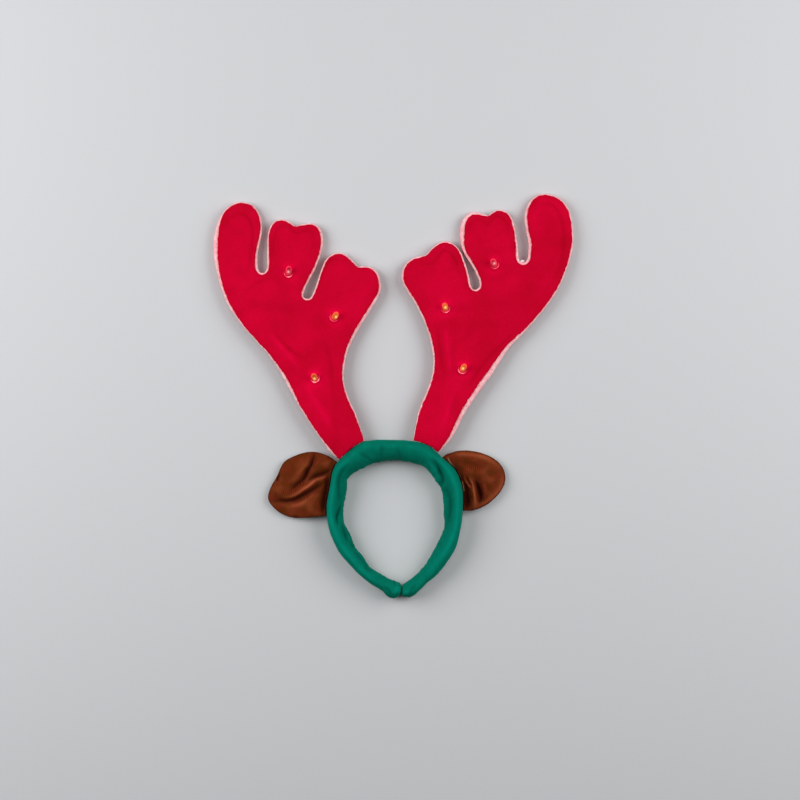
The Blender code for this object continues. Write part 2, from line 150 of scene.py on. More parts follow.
# Swellings of the two tips: where each lies and how high it is
TIP_BULBS = (((-4.5, -198.0), 1.2), ((18.0, -199.0), 1.0))
BULB_REACH = 5.5

# Creases seen from above: a valley along a smooth path (a negative depth is a ridge)
Crease = namedtuple("Crease", "width depth path")

# A wave of a surface: the size of its lumps and its height in millimetres
Wave = namedtuple("Wave", "size height")


def creases(*rows):
    return [Crease(*row) for row in rows]


BAND_CREASES = creases(
    (2.6, 1.7, ((-46, -69), (-52, -78), (-54, -88), (-54, -98), (-53, -106))),
    (1.5, 2.6, ((-50.5, -108), (-53.3, -114.3), (-56, -121), (-54.7, -128))),
    (1.7, 2.0, ((-50.5, -129), (-48, -135.7), (-44.7, -146))),
    (1.5, 1.5, ((-42, -144), (-40, -150), (-37.5, -153))),
    (1.7, 1.7, ((-38.7, -154.3), (-33.3, -159.7), (-28.5, -166))),
    (1.5, 1.2, ((-29.3, -165), (-25.3, -171.7), (-20, -175))),
    (1.7, 1.5, ((-9, -190.5), (-4.5, -194.3), (-2, -199.5))),
    (1.9, 2.4, ((40, -64), (44.6, -70.1), (47.4, -77), (49.5, -83.9), (48.8, -90))),
    (2.6, 1.7, ((51.5, -90), (55, -98), (57, -108), (56, -119), (54, -129))),
    (1.8, 1.1, ((22, -190), (19.5, -192), (16.5, -199))),
    (2.0, 0.9, ((-33, -57), (-26, -62), (-22, -66))),
    (2.0, 0.8, ((3, -50), (6, -57), (7, -62))),
    (1.8, 0.8, ((-12, -47), (-11, -56), (-13, -63))),
    (3.4, -0.9, ((-41.3, -61), (-55, -76), (-60.5, -99.7), (-61.5, -121), (-55, -142.3), (-40.5, -162.3),
                 (-21.3, -182.3))),
    (3.2, -0.9, ((38, -60), (54, -73), (63, -93), (64.5, -113), (61, -135), (50, -158), (30, -180))),
    (1.5, -0.8, ((34.5, -64.6), (42.3, -76), (46.4, -86.6))),
    (1.4, -0.8, ((-41.5, -137), (-39, -144))),
    (1.6, -0.9, ((-36, -156), (-29.5, -162.5))),
    (2.2, -0.8, ((4, -190), (3, -197))),
)

# Soft pressed lines and light creases of the felt, which run in from the tines' edges
FELT_CREASES = {
    "left": creases(
        (1.5, 0.60, ((-168, 170), (-163, 178), (-152.7, 181.6), (-144.5, 177), (-140.7, 167), (-141, 150.5),
                     (-143, 134), (-147, 121))),
        (1.4, 0.50, ((-120, 136), (-119.5, 152), (-116, 166), (-106, 169), (-97, 163), (-86, 165),
                     (-79, 158), (-82, 140))),
        (1.8, 0.35, ((-150, 99.5), (-138, 111.5), (-127, 116), (-116.5, 117.5), (-100, 112))),
        (2.6, -0.60, ((-121, 59), (-108, 44), (-95, 29))),
        (1.5, 0.55, ((-50, 134), (-62, 136), (-70, 124), (-76, 108))),
        (1.8, 0.55, ((-118, 62), (-104, 47), (-88, 36))),
        (3.0, 0.45, ((-70, 60), (-62, 30), (-60, 0))),
        (3.0, -0.45, ((-88, 12), (-74, -12), (-60, -34))),
    ),
    "right": creases(
        (1.4, 0.55, ((75, 158), (78, 172), (88, 176), (94, 171), (103, 179), (113, 174), (117, 156))),
        (1.5, 0.60, ((146, 192), (160, 190), (168, 178), (171, 158), (169, 136), (160, 112))),
        (1.5, 0.55, ((24, 132), (38, 132), (52, 145), (62, 136), (68, 118))),
        (1.8, 0.60, ((44, 66), (47, 45), (50, 24))),
        (2.4, -0.50, ((53, 66), (55, 44), (58, 20))),
        (1.8, 0.60, ((122, 64), (104, 46), (88, 28), (74, 6))),
        (2.6, -0.45, ((62, 10), (56, -12), (48, -34))),
    ),
}

# Relief of the felts and their patches of darker red
FELT_WAVE = Wave(42.0, 0.28)
FELT_RIPPLE = Wave(9.0, 0.07)
BACK_WAVE = Wave(38.0, 0.15)
BACK_RIPPLE = Wave(9.0, 0.06)
BACK_DROP = 0.2
FELT_PATCHES = Wave(16.0, 0.5)

# A soft ring or rim: where it lies, how far it reaches and how strong it is
Rim = namedtuple("Rim", "radius reach strength")
LAMP_DIP = Rim(7.0, 2.2, 0.22)
# Painted shadow on the felt below each lamp
LAMP_SHADOW = Rim(6.2, 1.0, 0.5)
FELT_RIM_DROP = Rim(0.0, 2.0, 0.4)
# Painted shade along the felt's rim and towards the antler's foot
FELT_RIM_SHADE = Rim(0.0, 1.1, 0.55)
FOOT_SHADE = 0.35
FOOT_SHADE_FROM = -36.0
FOOT_SHADE_REACH = 16.0
# Painted shade in the felt's creases, painted highlight along its ridges, and painted light from the lamps
# on the felt round them, fainter round a dim lamp
CREASE_FULL = 0.5
CREASE_SHADE = 0.55
RIDGE_GLOW = 0.4
LAMP_GLOW_REACH = 7.0
DIM_GLOW = 0.75

# Cut edges of the boards are a little uneven
SEEDS = {"left": 3.1, "right": 8.7}
CUT_WAVES = (Wave(4.0, 0.35), Wave(11.0, 0.3))
FRAY_WAVES = (Wave(1.7, 0.5), Wave(4.4, 0.35))
BACK_INSET = 0.7
WALL_WAVE = Wave(1.8, 0.22)
WALL_LUMPS = Wave(5.0, 0.2)
BARE_PATCHES = Wave(7.0, 0.35)

# Tuft of white wadding at the bottom of the right antler's last slot
TUFT_PLACE = (129.5, 134.6)
TUFT_SIZE = (1.7, 1.1, 1.2)

# Ears
EarGrid = namedtuple("EarGrid", "ring_step x y clearance easing thinnest")
EAR_COARSE = EarGrid(2.0, 1.9, 1.9, 0.9, (24, 6), 1.6)
EAR_FINE = EarGrid(0.9, 0.42, 1.1, 0.5, (10, 10), 1.2)

# How firmly the ear's cloth is held: by each millimetre of a crease, at most, and loose on its lower side
EAR_CLOTH_HOLD = (0.22, 0.95)
EAR_LOOSE_HOLD = 0.25
EAR_TABLE_HEIGHT = 0.3
EAR_SEAM_REACH = 5.0
EAR_MIDDLE = 5.0
FAR = 80.0
EAR_TOP_INSET = 1.1
EAR_SEAM = profile((0.45, 0.80), (0.10, 0.40), (0.0, 0.0), (0.10, -0.40), (0.45, -0.80))
# Marks on the rows round an ear's seam: the ribs, painted highlight and painted shade
EAR_SEAM_MARKS = {"rib": 0.5, "painted_highlight": 0.1, "painted_shade": 0.5}
EAR_COARSE_SHARE = 0.6
RIB_PITCH = 2.0
RIB_HEIGHT = 0.2
RIB_SLANT = 0.34
RIB_BEND = Wave(14.0, 2.0)
RIB_FADE = 1.5
CRUMPLE = 0.5
# Patches of painted sheen on the ears
SHEEN_PATCHES = 0.3
EAR_CREASES = {
    "left": creases(
        (2.2, 5.4, ((-79.4, -56.4), (-79.0, -58.5), (-80.0, -63.5), (-81.9, -69.1), (-84.4, -72.9),
                    (-86.2, -76.3), (-87.9, -80.6), (-90.4, -84.0), (-93.8, -86.6), (-98.1, -90.4),
                    (-101.5, -94.5))),
        (2.1, 5.4, ((-61.5, -73.0), (-66.5, -76.0), (-71.6, -78.2), (-76.8, -80.0), (-81.5, -82.2),
                    (-86.0, -85.5))),
        (2.3, 5.4, ((-68.0, -87.0), (-73.3, -89.3), (-77.6, -91.9), (-81.9, -94.5), (-86.2, -97.0),
                    (-91.3, -99.6), (-95.5, -102.1), (-101.5, -104.3), (-107.5, -105.1), (-113.5, -104.9),
                    (-121, -106.8))),
        (2.4, 1.6, ((-59, -64.5), (-61, -69), (-62.5, -74))),
        (2.6, 5.6, ((-63.5, -76.0), (-65.0, -85.7), (-66.7, -94.3), (-68.0, -101.9), (-68.8, -109.6),
                    (-69.5, -119))),
        (1.8, -2.8, ((-61.0, -79.6), (-68.2, -80.9), (-73.3, -82.1), (-77.6, -83.8), (-81.0, -86.8),
                     (-84.4, -90.2), (-88.7, -93.0), (-93.8, -97.0), (-99.8, -100.4), (-107.5, -102.2),
                     (-113.0, -101.6))),
        (2.4, -1.6, ((-84.0, -62.0), (-87.0, -69.0), (-91.0, -74.5), (-95.0, -80.0), (-101, -87))),
        (1.5, 1.1, ((-85.4, -63.5), (-88.5, -72.0), (-93.5, -78.5), (-98.0, -83.5), (-102.5, -88.5))),
        (2.6, -1.5, ((-78, -99), (-90, -107), (-104, -111))),
        (1.3, 1.0, ((-74, -95), (-80, -101), (-88, -106.5))),
        (2.0, 0.8, ((-97, -62), (-102, -72), (-108, -80))),
    ),
    "right": creases(
        (2.2, 4.8, ((65.5, -76.5), (67.2, -79.4), (69.1, -83.3), (71.1, -87.2), (73.0, -91.0),
                    (74.1, -95.5), (74.7, -101), (74.1, -106.5), (73.4, -111))),
        (4.0, 6.0, ((70.5, -89), (72, -95), (73, -101), (73.5, -114))),
        (1.3, 3.8, ((72.8, -80.2), (73.8, -82.6), (75.4, -85), (76.9, -87.7), (78.6, -90.2))),
        (3.0, 6.2, ((80.0, -84), (82.8, -86.2), (84.6, -89.4), (85.7, -92.7), (86.8, -96), (87.7, -99.9),
                    (87.6, -103.8), (85.9, -108))),
        (1.1, -3.0, ((70.2, -80.5), (72.2, -85), (74.1, -87.7), (76.3, -90.5), (77.9, -92.4))),
        (1.9, -2.4, ((76.6, -82), (77.8, -84.6), (79.3, -87.7), (80.4, -91.0), (81.0, -95.5), (81.6, -99.9),
                     (82.3, -103.8), (82.5, -109))),
        (3.4, 1.5, ((63, -66), (78, -67.5), (92, -72.3))),
        (4.2, 3.0, ((56.5, -61.5), (59.5, -66.5), (64, -71.5), (68, -77))),
        (1.4, 1.0, ((92, -84), (95, -92), (93, -99))),
        (1.4, -0.9, ((89, -86), (92, -94), (91, -102))),
        (2.6, -1.6, ((110.5, -80), (107, -93), (98, -102.5), (88, -109))),
        (2.4, -1.3, ((60, -59), (68.5, -58), (80, -58.8), (90.5, -61.2), (101.5, -66.7), (108, -73))),
    ),
}

# Raw cut edge of the right ear beside the band, from its upper root downwards, and how plainly it shows
RAW_EDGE = (
    (((55.0, -62.0), (56.0, -64.6), (57.6, -67.0), (60.9, -70.6)), 0.42),
    (((60.9, -70.6), (63.0, -73.6), (64.9, -76.6), (67.2, -80.6)), 0.3),
    (((69.2, -85.5), (70.0, -89.5), (70.8, -94.5)), 0.4),
)
RAW_EDGE_WIDTH = 0.45

# Small tuck in the left ear's outer edge, darkened with painted shade
EAR_NICK = ((-114.6, -79.2), (-116.0, -84.2))
EAR_NICK_SHADE = Rim(0.0, 1.1, 1.1)

# Shade along an ear's edge
EAR_RIM_SHADE = Rim(0.0, 0.8, 0.55)

# Lamps: the lens's neck stands in the collar, and the dome above it leans
LENS_FOOT = 0.05
LENS_NECK = 1.8
LENS_SHOULDER = 4.2
LENS_TOP = 7.3
LENS_RADIUS = 3.0
LENS_SIDES = 36
LENS_WALL = profile((0.94, 0.0), (0.985, 0.1), (1.0, 0.25), (1.0, 0.45), (1.0, 0.65), (1.0, 0.85),
                    (1.0, 1.0))
DOME_STEPS = 8
DOME_TURN = math.radians(10.8)
COLLAR_PROFILE = profile((3.35, 0.05), (3.3, 0.7), (3.42, 1.25), (3.75, 1.5), (4.2, 1.46), (4.6, 1.15),
                         (4.84, 0.7), (4.9, 0.3), (4.8, 0.03))
# Hot spot of each lens: the glow of a lit lamp, and a painted highlight on a dim one
HOT_SPOT_LEAN = 0.12
HOT_SPOT_RADIUS = 1.25
HOT_SPOT_MOVES = {"lamp_left_2": (1.6, -0.7), "lamp_left_3": (0.0, -1.2)}
DIM_LAMPS = ("lamp_left_1", "lamp_right_1")
# Lenses whose core is painted darker, and by how much
DEEP_CORES = {"lamp_left_3": 0.5, "lamp_left_1": 0.3}
# Strength of the painted highlight in each collar's crescent
COLLAR_SHINE = {"lamp_left_1": 0.8, "lamp_left_2": 0.8, "lamp_left_3": 1.3, "lamp_right_1": 0.8,
                "lamp_right_2": 0.85, "lamp_right_3": 1.05}

# Looks of the materials: a first tint, and layers of others that lie where speckles or painted marks are
Speckle = namedtuple("Speckle", "size low high reach detail roughness stretch",
                     defaults=(1.0, 2.0, 0.5, None))
Mark = namedtuple("Mark", "name low high to_low to_high", defaults=(None, None, 0.0, 1.0))
Layer = namedtuple("Layer", "tint where below", defaults=(False,))
Bump = namedtuple("Bump", "size detail roughness distance strength")
Look = namedtuple("Look", "shader tint layers bumps glow", defaults=((), None))


def cloth_shader(roughness, sheen, sheen_roughness, sheen_tint, specular):
    return {"Roughness": roughness, "Sheen Weight": sheen, "Sheen Roughness": sheen_roughness,
            "Sheen Tint": sheen_tint, "Specular IOR Level": specular}


def plain_shader(roughness, specular, **more):
    return {"Roughness": roughness, "Specular IOR Level": specular, **more}


def lens_look(core, rim, spot, glow):
    """Tinted lamp lens: its core deep, its rim paler with painted light, its foot dark with painted shade,
    and bright where the light gathers, glowing there.
    """
    dark = tuple(value * 0.2 for value in core)
    layers = Layer(rim, Mark("rim")), Layer(dark, Mark("foot")), Layer(spot, Mark("lit"))
    emission = Mark("lit", 0.0, 1.0, glow * 0.25, glow)
    return Look(plain_shader(0.4, 0.05, IOR=1.5), core, layers, glow=emission)


LOOKS = {
    # Needled red felt: blotches of two reds, a fine nap and stray paler fibres
    "red_felt": Look(cloth_shader(0.95, 0.08, 0.5, (1.0, 0.05, 0.12), 0.04), (0.50, 0.0, 0.019), (
        Layer((0.605, 0.0, 0.028), Speckle(34.0, 0.35, 0.65, detail=3.0)),
        Layer((0.43, 0.0, 0.015), Speckle(1.6, 0.3, 0.7, 0.35, 3.0, 0.6)),
        Layer((0.80, 0.03, 0.06), Speckle(1.1, 0.64, 0.76, 0.16, stretch=(1.0, 0.35, 1.0))),
        # Painted light near the lamps and on the ridges, which also glows, and painted shade together with
        # patches of darker red
        Layer((0.86, 0.0, 0.055), Mark("glow")),
        Layer((0.36, 0.0, 0.010), Mark("pressed")),
    ), (Bump(4.5, 2.0, 0.5, 0.35, 0.5), Bump(0.9, 3.0, 0.65, 0.18, 0.6)), Mark("glow", 0.4, 1.0, 0.0, 0.16)),
    # Cut foam and wadding edge: pale pink, mottled with grey pores and red lint from the felt
    "foam_edge": Look(plain_shader(0.9, 0.1), (0.93, 0.34, 0.38), (
        Layer((1.0, 0.60, 0.62), Speckle(3.2, 0.35, 0.65, 1.0, 3.0, 0.6)),
        Layer((0.50, 0.24, 0.25), Speckle(0.8, 0.56, 0.72, 0.4, 2.0, 0.6)),
        Layer((0.88, 0.08, 0.15), Speckle(1.7, 0.58, 0.72, 0.75, 3.0, 0.7)),
        Layer((0.95, 0.86, 0.84), Mark("bare")),
    ), (Bump(1.4, 3.0, 0.65, 0.4, 0.8), Bump(0.5, 2.0, 0.5, 0.12, 0.6))),
    # Green pile cloth with a short nap, with painted highlight along its ridges and painted shade in its
    # creases, gathers and lower outer wall
    "green_fabric": Look(cloth_shader(0.85, 0.2, 0.4, (0.0, 0.75, 0.5), 0.03), (0.0, 0.142, 0.094), (
        Layer((0.0, 0.180, 0.118), Speckle(9.0, 0.35, 0.65, 1.0, 3.0, 0.6)),
        Layer((0.0, 0.115, 0.075), Speckle(0.9, 0.3, 0.7, 0.5, 3.0, 0.6)),
        Layer((0.0, 0.245, 0.175), Mark("painted_highlight")),
        Layer((0.0, 0.040, 0.028), Mark("painted_shade")),
    ), (Bump(3.0, 2.0, 0.5, 0.3, 0.4), Bump(0.6, 2.0, 0.6, 0.12, 0.5))),
    # Brown ribbed pile cloth: redder with painted highlight on its ridges and in patches of sheen, dark with
    # painted shade in its folds and between its ribs, and pale at a raw cut edge
    "brown_fabric": Look(cloth_shader(0.85, 0.15, 0.4, (1.0, 0.25, 0.06), 0.04), (0.120, 0.034, 0.0030), (
        Layer((0.225, 0.030, 0.0110), Speckle(7.0, 0.38, 0.62, 1.0, 3.0, 0.6)),
        # Painted shade between the ribs
        Layer((0.078, 0.011, 0.002), Mark("rib"), below=True),
        Layer((0.105, 0.017, 0.003), Speckle(1.1, 0.35, 0.65, 0.5, 3.0, 0.6, (1.0, 0.4, 1.0))),
        Layer((0.42, 0.095, 0.038), Mark("painted_highlight")),
        Layer((0.022, 0.0015, 0.0005), Mark("painted_shade")),
        Layer((0.46, 0.34, 0.17), Mark("raw")),
    ), (Bump(0.6, 2.0, 0.6, 0.12, 0.6),)),
    # Lit lenses glow as the lamps they are; a dim lens's glow and hot spot are painted light
    "led_lens": lens_look((0.60, 0.12, 0.005), (1.0, 0.10, 0.070), (1.0, 0.70, 0.24), 0.6),
    "led_lens_dim": lens_look((0.50, 0.006, 0.030), (0.95, 0.045, 0.095), (1.0, 0.40, 0.44), 0.4),
    # Clear pinkish plastic, slightly clouded, with painted shade beside the lens and a pale crescent of
    # painted light that glows
    "led_collar": Look(plain_shader(0.5, 0.02, IOR=1.46), (0.50, 0.002, 0.020), (
        Layer((0.62, 0.004, 0.032), Speckle(2.0, 0.35, 0.65)),
        Layer((0.22, 0.001, 0.004), Mark("foot")),
        Layer((1.0, 0.060, 0.125), Mark("lit", 0.0, 0.55)),
        Layer((1.0, 0.42, 0.45), Mark("lit", 0.5, 1.0)),
    ), glow=Mark("lit", 0.05, 0.8, 0.0, 0.7)),
    "floor": Look(plain_shader(0.9, 0.2), (0.565, 0.575, 0.59), (
        Layer((0.575, 0.585, 0.60), Speckle(0.8, 0.3, 0.7)),
    )),
}
SKY_TINT = (0.97, 0.98, 1.0)


def clear_stage():
    for item in list(bpy.data.objects):
        if item.type in {"CAMERA", "LIGHT"}:
            bpy.data.objects.remove(item)


def link(piece):
    bpy.context.scene.collection.objects.link(piece)
    return piece


def add_camera():
    data = bpy.data.cameras.new("camera")
    data.sensor_width = SENSOR_WIDTH
    data.lens = SENSOR_WIDTH * (CAMERA_HEIGHT - OUTLINE_HEIGHT) / VIEW_WIDTH
    camera = link(bpy.data.objects.new("camera", data))
    camera.location = (*VIEW_MIDDLE, CAMERA_HEIGHT)
    bpy.context.scene.camera = camera


def add_studio_lamp(lamp):
    data = bpy.data.lights.new(lamp.name, "AREA")
    data.shape = "DISK"
    data.size = lamp.width
    data.energy = lamp.power
    light = link(bpy.data.objects.new(lamp.name, data))
    light.location = (lamp.x, lamp.y, lamp.z)
    light.rotation_mode = "QUATERNION"
    light.rotation_quaternion = (-Vector(light.location)).to_track_quat("-Z", "Y")


def add_node(tree, kind, inputs=None, **settings):
    """A shader node with its settings; an input is a value or the socket that feeds it."""
    made = tree.nodes.new("ShaderNode" + kind)
    for key, value in settings.items():
        setattr(made, key, value)
    for key, value in (inputs or {}).items():
        if isinstance(value, bpy.types.NodeSocket):
            tree.links.new(value, made.inputs[key])
        else:
            made.inputs[key].default_value = value
    return made


def opaque(value):
    """A colour of red, green and blue with its alpha; anything else stays as it is."""
    return (*value, 1.0) if isinstance(value, tuple) else value


def noise_at(tree, size_mm, detail, roughness, stretch=None):
    """A noise whose lumps are about size_mm across, in the frame's own axes."""
    place = add_node(tree, "TexCoord").outputs["Object"]
    if stretch:
        place = add_node(tree, "Mapping", {"Vector": place, "Scale": stretch}).outputs["Vector"]
    return add_node(tree, "TexNoise", {
        "Vector": place, "Scale": 1.0 / MM / size_mm, "Detail": detail, "Roughness": roughness,
    }).outputs["Fac"]


def spread(tree, value, low, high, to_low, to_high):
    return add_node(tree, "MapRange", {
        "Value": value, "From Min": low, "From Max": high, "To Min": to_low, "To Max": to_high,
    }).outputs["Result"]


def strength_at(tree, where):
    """How strongly speckles or a mark painted on the mesh show, as a socket."""
    if isinstance(where, Speckle):
        value = noise_at(tree, where.size, where.detail, where.roughness, where.stretch)
        return spread(tree, value, where.low, where.high, 0.0, where.reach)
    value = add_node(tree, "Attribute", attribute_name=where.name).outputs["Fac"]
    return value if where.low is None else spread(tree, value, *where[1:])


def make_material(name, look):
    """A material with one Principled shader, whose constant inputs are set on its own sockets."""
    material = bpy.data.materials.new(name)
    material.use_nodes = True
    tree = material.node_tree
    shader = tree.nodes["Principled BSDF"]
    for key, value in look.shader.items():
        shader.inputs[key].default_value = opaque(value)
    tint = opaque(look.tint)
    for layer in look.layers:
        pair = (opaque(layer.tint), tint) if layer.below else (tint, opaque(layer.tint))
        mix = {0: strength_at(tree, layer.where), 6: pair[0], 7: pair[1]}
        tint = add_node(tree, "Mix", mix, data_type="RGBA").outputs[2]
    tree.links.new(tint, shader.inputs["Base Color"])
    if look.glow:
        tree.links.new(tint, shader.inputs["Emission Color"])
        tree.links.new(strength_at(tree, look.glow), shader.inputs["Emission Strength"])
    inputs = {}
    for bump in look.bumps:
        inputs["Height"] = noise_at(tree, bump.size, bump.detail, bump.roughness)
        inputs["Distance"] = bump.distance * MM
        inputs["Strength"] = bump.strength
        inputs["Normal"] = add_node(tree, "Bump", inputs).outputs["Normal"]
    if inputs:
        tree.links.new(inputs["Normal"], shader.inputs["Normal"])
    return material


def add_floor(material):
    half = FLOOR_HALF_WIDTH
    mesh = bpy.data.meshes.new("floor")
    mesh.from_pydata([(-half, -half, 0), (half, -half, 0), (half, half, 0), (-half, half, 0)], [],
                     [(0, 1, 2, 3)])
    mesh.materials.append(material)
    link(bpy.data.objects.new("floor", mesh))


def set_light():
    world = bpy.data.worlds.new("studio")
    bpy.context.scene.world = world
    world.use_nodes = True
    background = world.node_tree.nodes["Background"]
    background.inputs["Color"].default_value = opaque(SKY_TINT)
    background.inputs["Strength"].default_value = SKY_STRENGTH
    for lamp in STUDIO_LAMPS:
        add_studio_lamp(lamp)
    settings = bpy.context.scene.view_settings
    settings.view_transform = "Standard"
    settings.look = "None"
    settings.exposure = 0.0


def unit(value):
    """A value kept between 0 and 1."""
    return min(1.0, max(0.0, value))


def ripple(x, y, z):
    """Smooth noise at a place."""
    return noise.noise(Vector((x, y, z)))


def wave_at(wave, x, y, shift):
    """Smooth noise with lumps of a wave's size and its height; the shift picks another part of the noise."""
    return ripple(x / wave.size + shift[0], y / wave.size + shift[1], shift[2]) * wave.height


def ring_at(ring, off):
    """How strong a soft ring is at a distance from its middle."""
    return ring.strength * math.exp(-((off - ring.radius) / ring.reach) ** 2)


def edge_at(edge, rim, x, y):
    """How strong something is at a place, that fades inwards from a rim."""
    return edge.strength * math.exp(-rim.find((x, y, 0.0))[2] / edge.reach)


def full_turn(count):
    """Angles of a full turn in even steps."""
    return [2 * math.pi * step / count for step in range(count)]


def whole(faces):
    """Faces as tuples of Python's own whole numbers."""
    return [tuple(int(corner) for corner in face) for face in faces]


def joined_solid(node):
    """A CAD node's mesh in millimetres, with the seams of its shading joined."""
    shape = bmesh.new()
    shape.from_mesh(frame["nodes"][node].data)
    bmesh.ops.scale(shape, vec=(1.0 / MM,) * 3, verts=shape.verts)
    bmesh.ops.remove_doubles(shape, verts=shape.verts, dist=0.002)
    return shape


def board_tilt(shape):
    """How far a flat board leans about X, from the faces of its upper side."""
    up = Vector()
    for face in shape.faces:
        if face.normal.z > 0.9:
            up += face.normal * face.calc_area()
    return math.atan2(up.y, up.z)


def levelled(shape, tilt):
    bmesh.ops.rotate(shape, cent=(0, 0, 0), matrix=Matrix.Rotation(tilt, 3, "X"), verts=shape.verts)
    return shape


def join(neighbours, first, second):
    neighbours.setdefault(first, set()).add(second)
    neighbours.setdefault(second, set()).add(first)


def slice_ring(shape, height):
    """The closed outline of a solid at one height, as x and y, counter-clockwise."""
    everything = shape.verts[:] + shape.edges[:] + shape.faces[:]
    cut = bmesh.ops.bisect_plane(shape, geom=everything, plane_co=(0, 0, height), plane_no=(0, 0, 1))
    neighbours = {}
    places = {}
    for edge in cut["geom_cut"]:
        if isinstance(edge, bmesh.types.BMEdge):
            first, second = edge.verts
            join(neighbours, first, second)
            places[first] = first.co.xy[:]
            places[second] = second.co.xy[:]
    return walk_ring(neighbours, places)


def signed_area(points):
    after = np.roll(points, -1, axis=0)
    return 0.5 * float(np.sum(points[:, 0] * after[:, 1] - after[:, 0] * points[:, 1]))


def turns(points):
    """The turn at each point of a closed ring, in radians."""
    ahead = np.roll(points, -1, axis=0) - points
    behind = points - np.roll(points, 1, axis=0)
    cross = behind[:, 0] * ahead[:, 1] - behind[:, 1] * ahead[:, 0]
    dot = np.sum(behind * ahead, axis=1)
    return np.arctan2(cross, dot)


def smooth_ring(points, step):
    """A closed ring through the given corners, rounded between them and keeping its sharp corners."""
    points = points[np.abs(turns(points)) > STRAIGHT_TURN]
    sharp = np.abs(turns(points)) > CORNER_TURN
    count = len(points)
    runs = np.roll(points, -1, axis=0) - points
    lengths = np.linalg.norm(runs, axis=1)
    units = runs / lengths[:, None]
    made = []
    for index in range(count):
        after = (index + 1) % count
        before = index - 1
        leave = units[index]
        if not sharp[index]:
            leave = units[before] * lengths[index] + units[index] * lengths[before]
        arrive = units[index]
        if not sharp[after]:
            arrive = units[index] * lengths[after] + units[after] * lengths[index]
        leave = leave / np.linalg.norm(leave) * lengths[index]
        arrive = arrive / np.linalg.norm(arrive) * lengths[index]
        pieces = max(1, round(lengths[index] / step))
        for share in np.arange(pieces) / pieces:
            made.append(hermite(points[index], points[after], leave, arrive, share))
    return np.array(made)


def hermite(start, end, leave, arrive, share):
    squared, cubed = share ** 2, share ** 3
    return ((2 * cubed - 3 * squared + 1) * start + (cubed - 2 * squared + share) * leave
            + (3 * squared - 2 * cubed) * end + (cubed - squared) * arrive)


def inward_normals(ring):
    along = np.roll(ring, -1, axis=0) - np.roll(ring, 1, axis=0)
    along /= np.linalg.norm(along, axis=1)[:, None]
    return np.stack([-along[:, 1], along[:, 0]], axis=1)


def inset_ring(ring, inset):
    """A ring moved inwards, with the stretches that would cross themselves drawn together again."""
    moved = ring + inward_normals(ring) * inset
    for _ in range(12):
        old_runs = np.roll(ring, -1, axis=0) - ring
        new_runs = np.roll(moved, -1, axis=0) - moved
        crossed = np.sum(old_runs * new_runs, axis=1) <= 0.15 * np.sum(old_runs ** 2, axis=1)
        if not crossed.any():
            break
        near = crossed | np.roll(crossed, 1) | np.roll(crossed, -1) | np.roll(crossed, 2)
        moved[near] = eased_ring(moved, 1)[near]
    return moved


def nearest_on_ring(ring, points):
    """The place on a closed ring that is nearest to each point."""
    start = ring
    run = np.roll(ring, -1, axis=0) - ring
    squared = np.maximum(np.sum(run ** 2, axis=1), 1e-9)
    found = []
    for point in points:
        share = np.clip(np.sum((point - start) * run, axis=1) / squared, 0.0, 1.0)
        feet = start + run * share[:, None]
        found.append(feet[np.argmin(np.sum((feet - point) ** 2, axis=1))])
    return np.array(found)


def eased_ring(ring, rounds):
    for _ in range(rounds):
        ring = ring * 0.5 + (np.roll(ring, 1, axis=0) + np.roll(ring, -1, axis=0)) * 0.25
    return ring


def jitter(points, size, height, seed):
    """A smooth random value for each point, from lumps of the given size."""
    return np.array([ripple(x / size + seed, y / size - seed, seed * 1.7) * height
                     for x, y in points])


def point_tree(points):
    """A tree that finds the nearest of some points in the plane."""
    tree = kdtree.KDTree(len(points))
    for index, point in enumerate(points):
        tree.insert((point[0], point[1], 0.0), index)
    tree.balance()
    return tree


def crease_finder(crease):
    """A crease with its path made smooth: a tree of its points and how deep it is at each."""
    places = middle_line(crease.path, 0.5)[0]
    shares = np.linspace(0.0, 1.0, len(places))
    return crease, point_tree(places), np.sin(np.pi * np.clip(shares, 0.02, 0.98)) ** 0.45


def crease_depth(finders, x, y):
    """How deep the creases press the surface at a place; ridges count against valleys."""
    valley = 0.0
    ridge = 0.0
    for crease, tree, share in finders:
        _, index, off = tree.find((x, y, 0.0))
        if off > crease.width * 4:
            continue
        depth = crease.depth * share[index] * math.exp(-(off / crease.width) ** 1.35)
        valley = max(valley, depth)
        ridge = min(ridge, depth)
    return valley + ridge


def cloth_relaxed(name, points, faces, held):
    """Where the points of a closed cloth shell come to lie when a little pressure blows it up."""
    points = np.asarray(points, float)
    mesh = bpy.data.meshes.new(name)
    mesh.from_pydata((points * CLOTH_SCALE).tolist(), [], whole(faces))
    shape = bmesh.new()
    shape.from_mesh(mesh)
    bmesh.ops.recalc_face_normals(shape, faces=shape.faces)
    shape.to_mesh(mesh)
    shape.free()
    piece = link(bpy.data.objects.new(name, mesh))
    group = piece.vertex_groups.new(name="held")
    for index, weight in enumerate(held):
        group.add([index], float(weight), "REPLACE")
    cloth = piece.modifiers.new("cloth", "CLOTH")
    cloth.point_cache.frame_start = 1
    cloth.point_cache.frame_end = CLOTH_FRAMES
    settings = cloth.settings
    for key, value in CLOTH_SETTINGS.items():
        setattr(settings, key, value)
    settings.effector_weights.gravity = 0.0
    for number in range(1, CLOTH_FRAMES + 1):
        bpy.context.scene.frame_set(number)
    settled = piece.evaluated_get(bpy.context.evaluated_depsgraph_get()).to_mesh()
    moved = np.array([corner.co[:] for corner in settled.vertices]) / CLOTH_SCALE - points
    bpy.data.objects.remove(piece)
    bpy.data.meshes.remove(mesh)
    bpy.context.scene.frame_set(1)
    lengths = np.maximum(np.linalg.norm(moved, axis=1), 1e-9)
    capped = points + moved * np.minimum(1.0, CLOTH_REACH / lengths)[:, None]
    capped[:, 2] = np.maximum(capped[:, 2], 0.0)
    return capped


def shell_tree(points, faces):
    """A tree that finds where a line meets a shell."""
    return BVHTree.FromPolygons([Vector(point) for point in points], whole(faces))


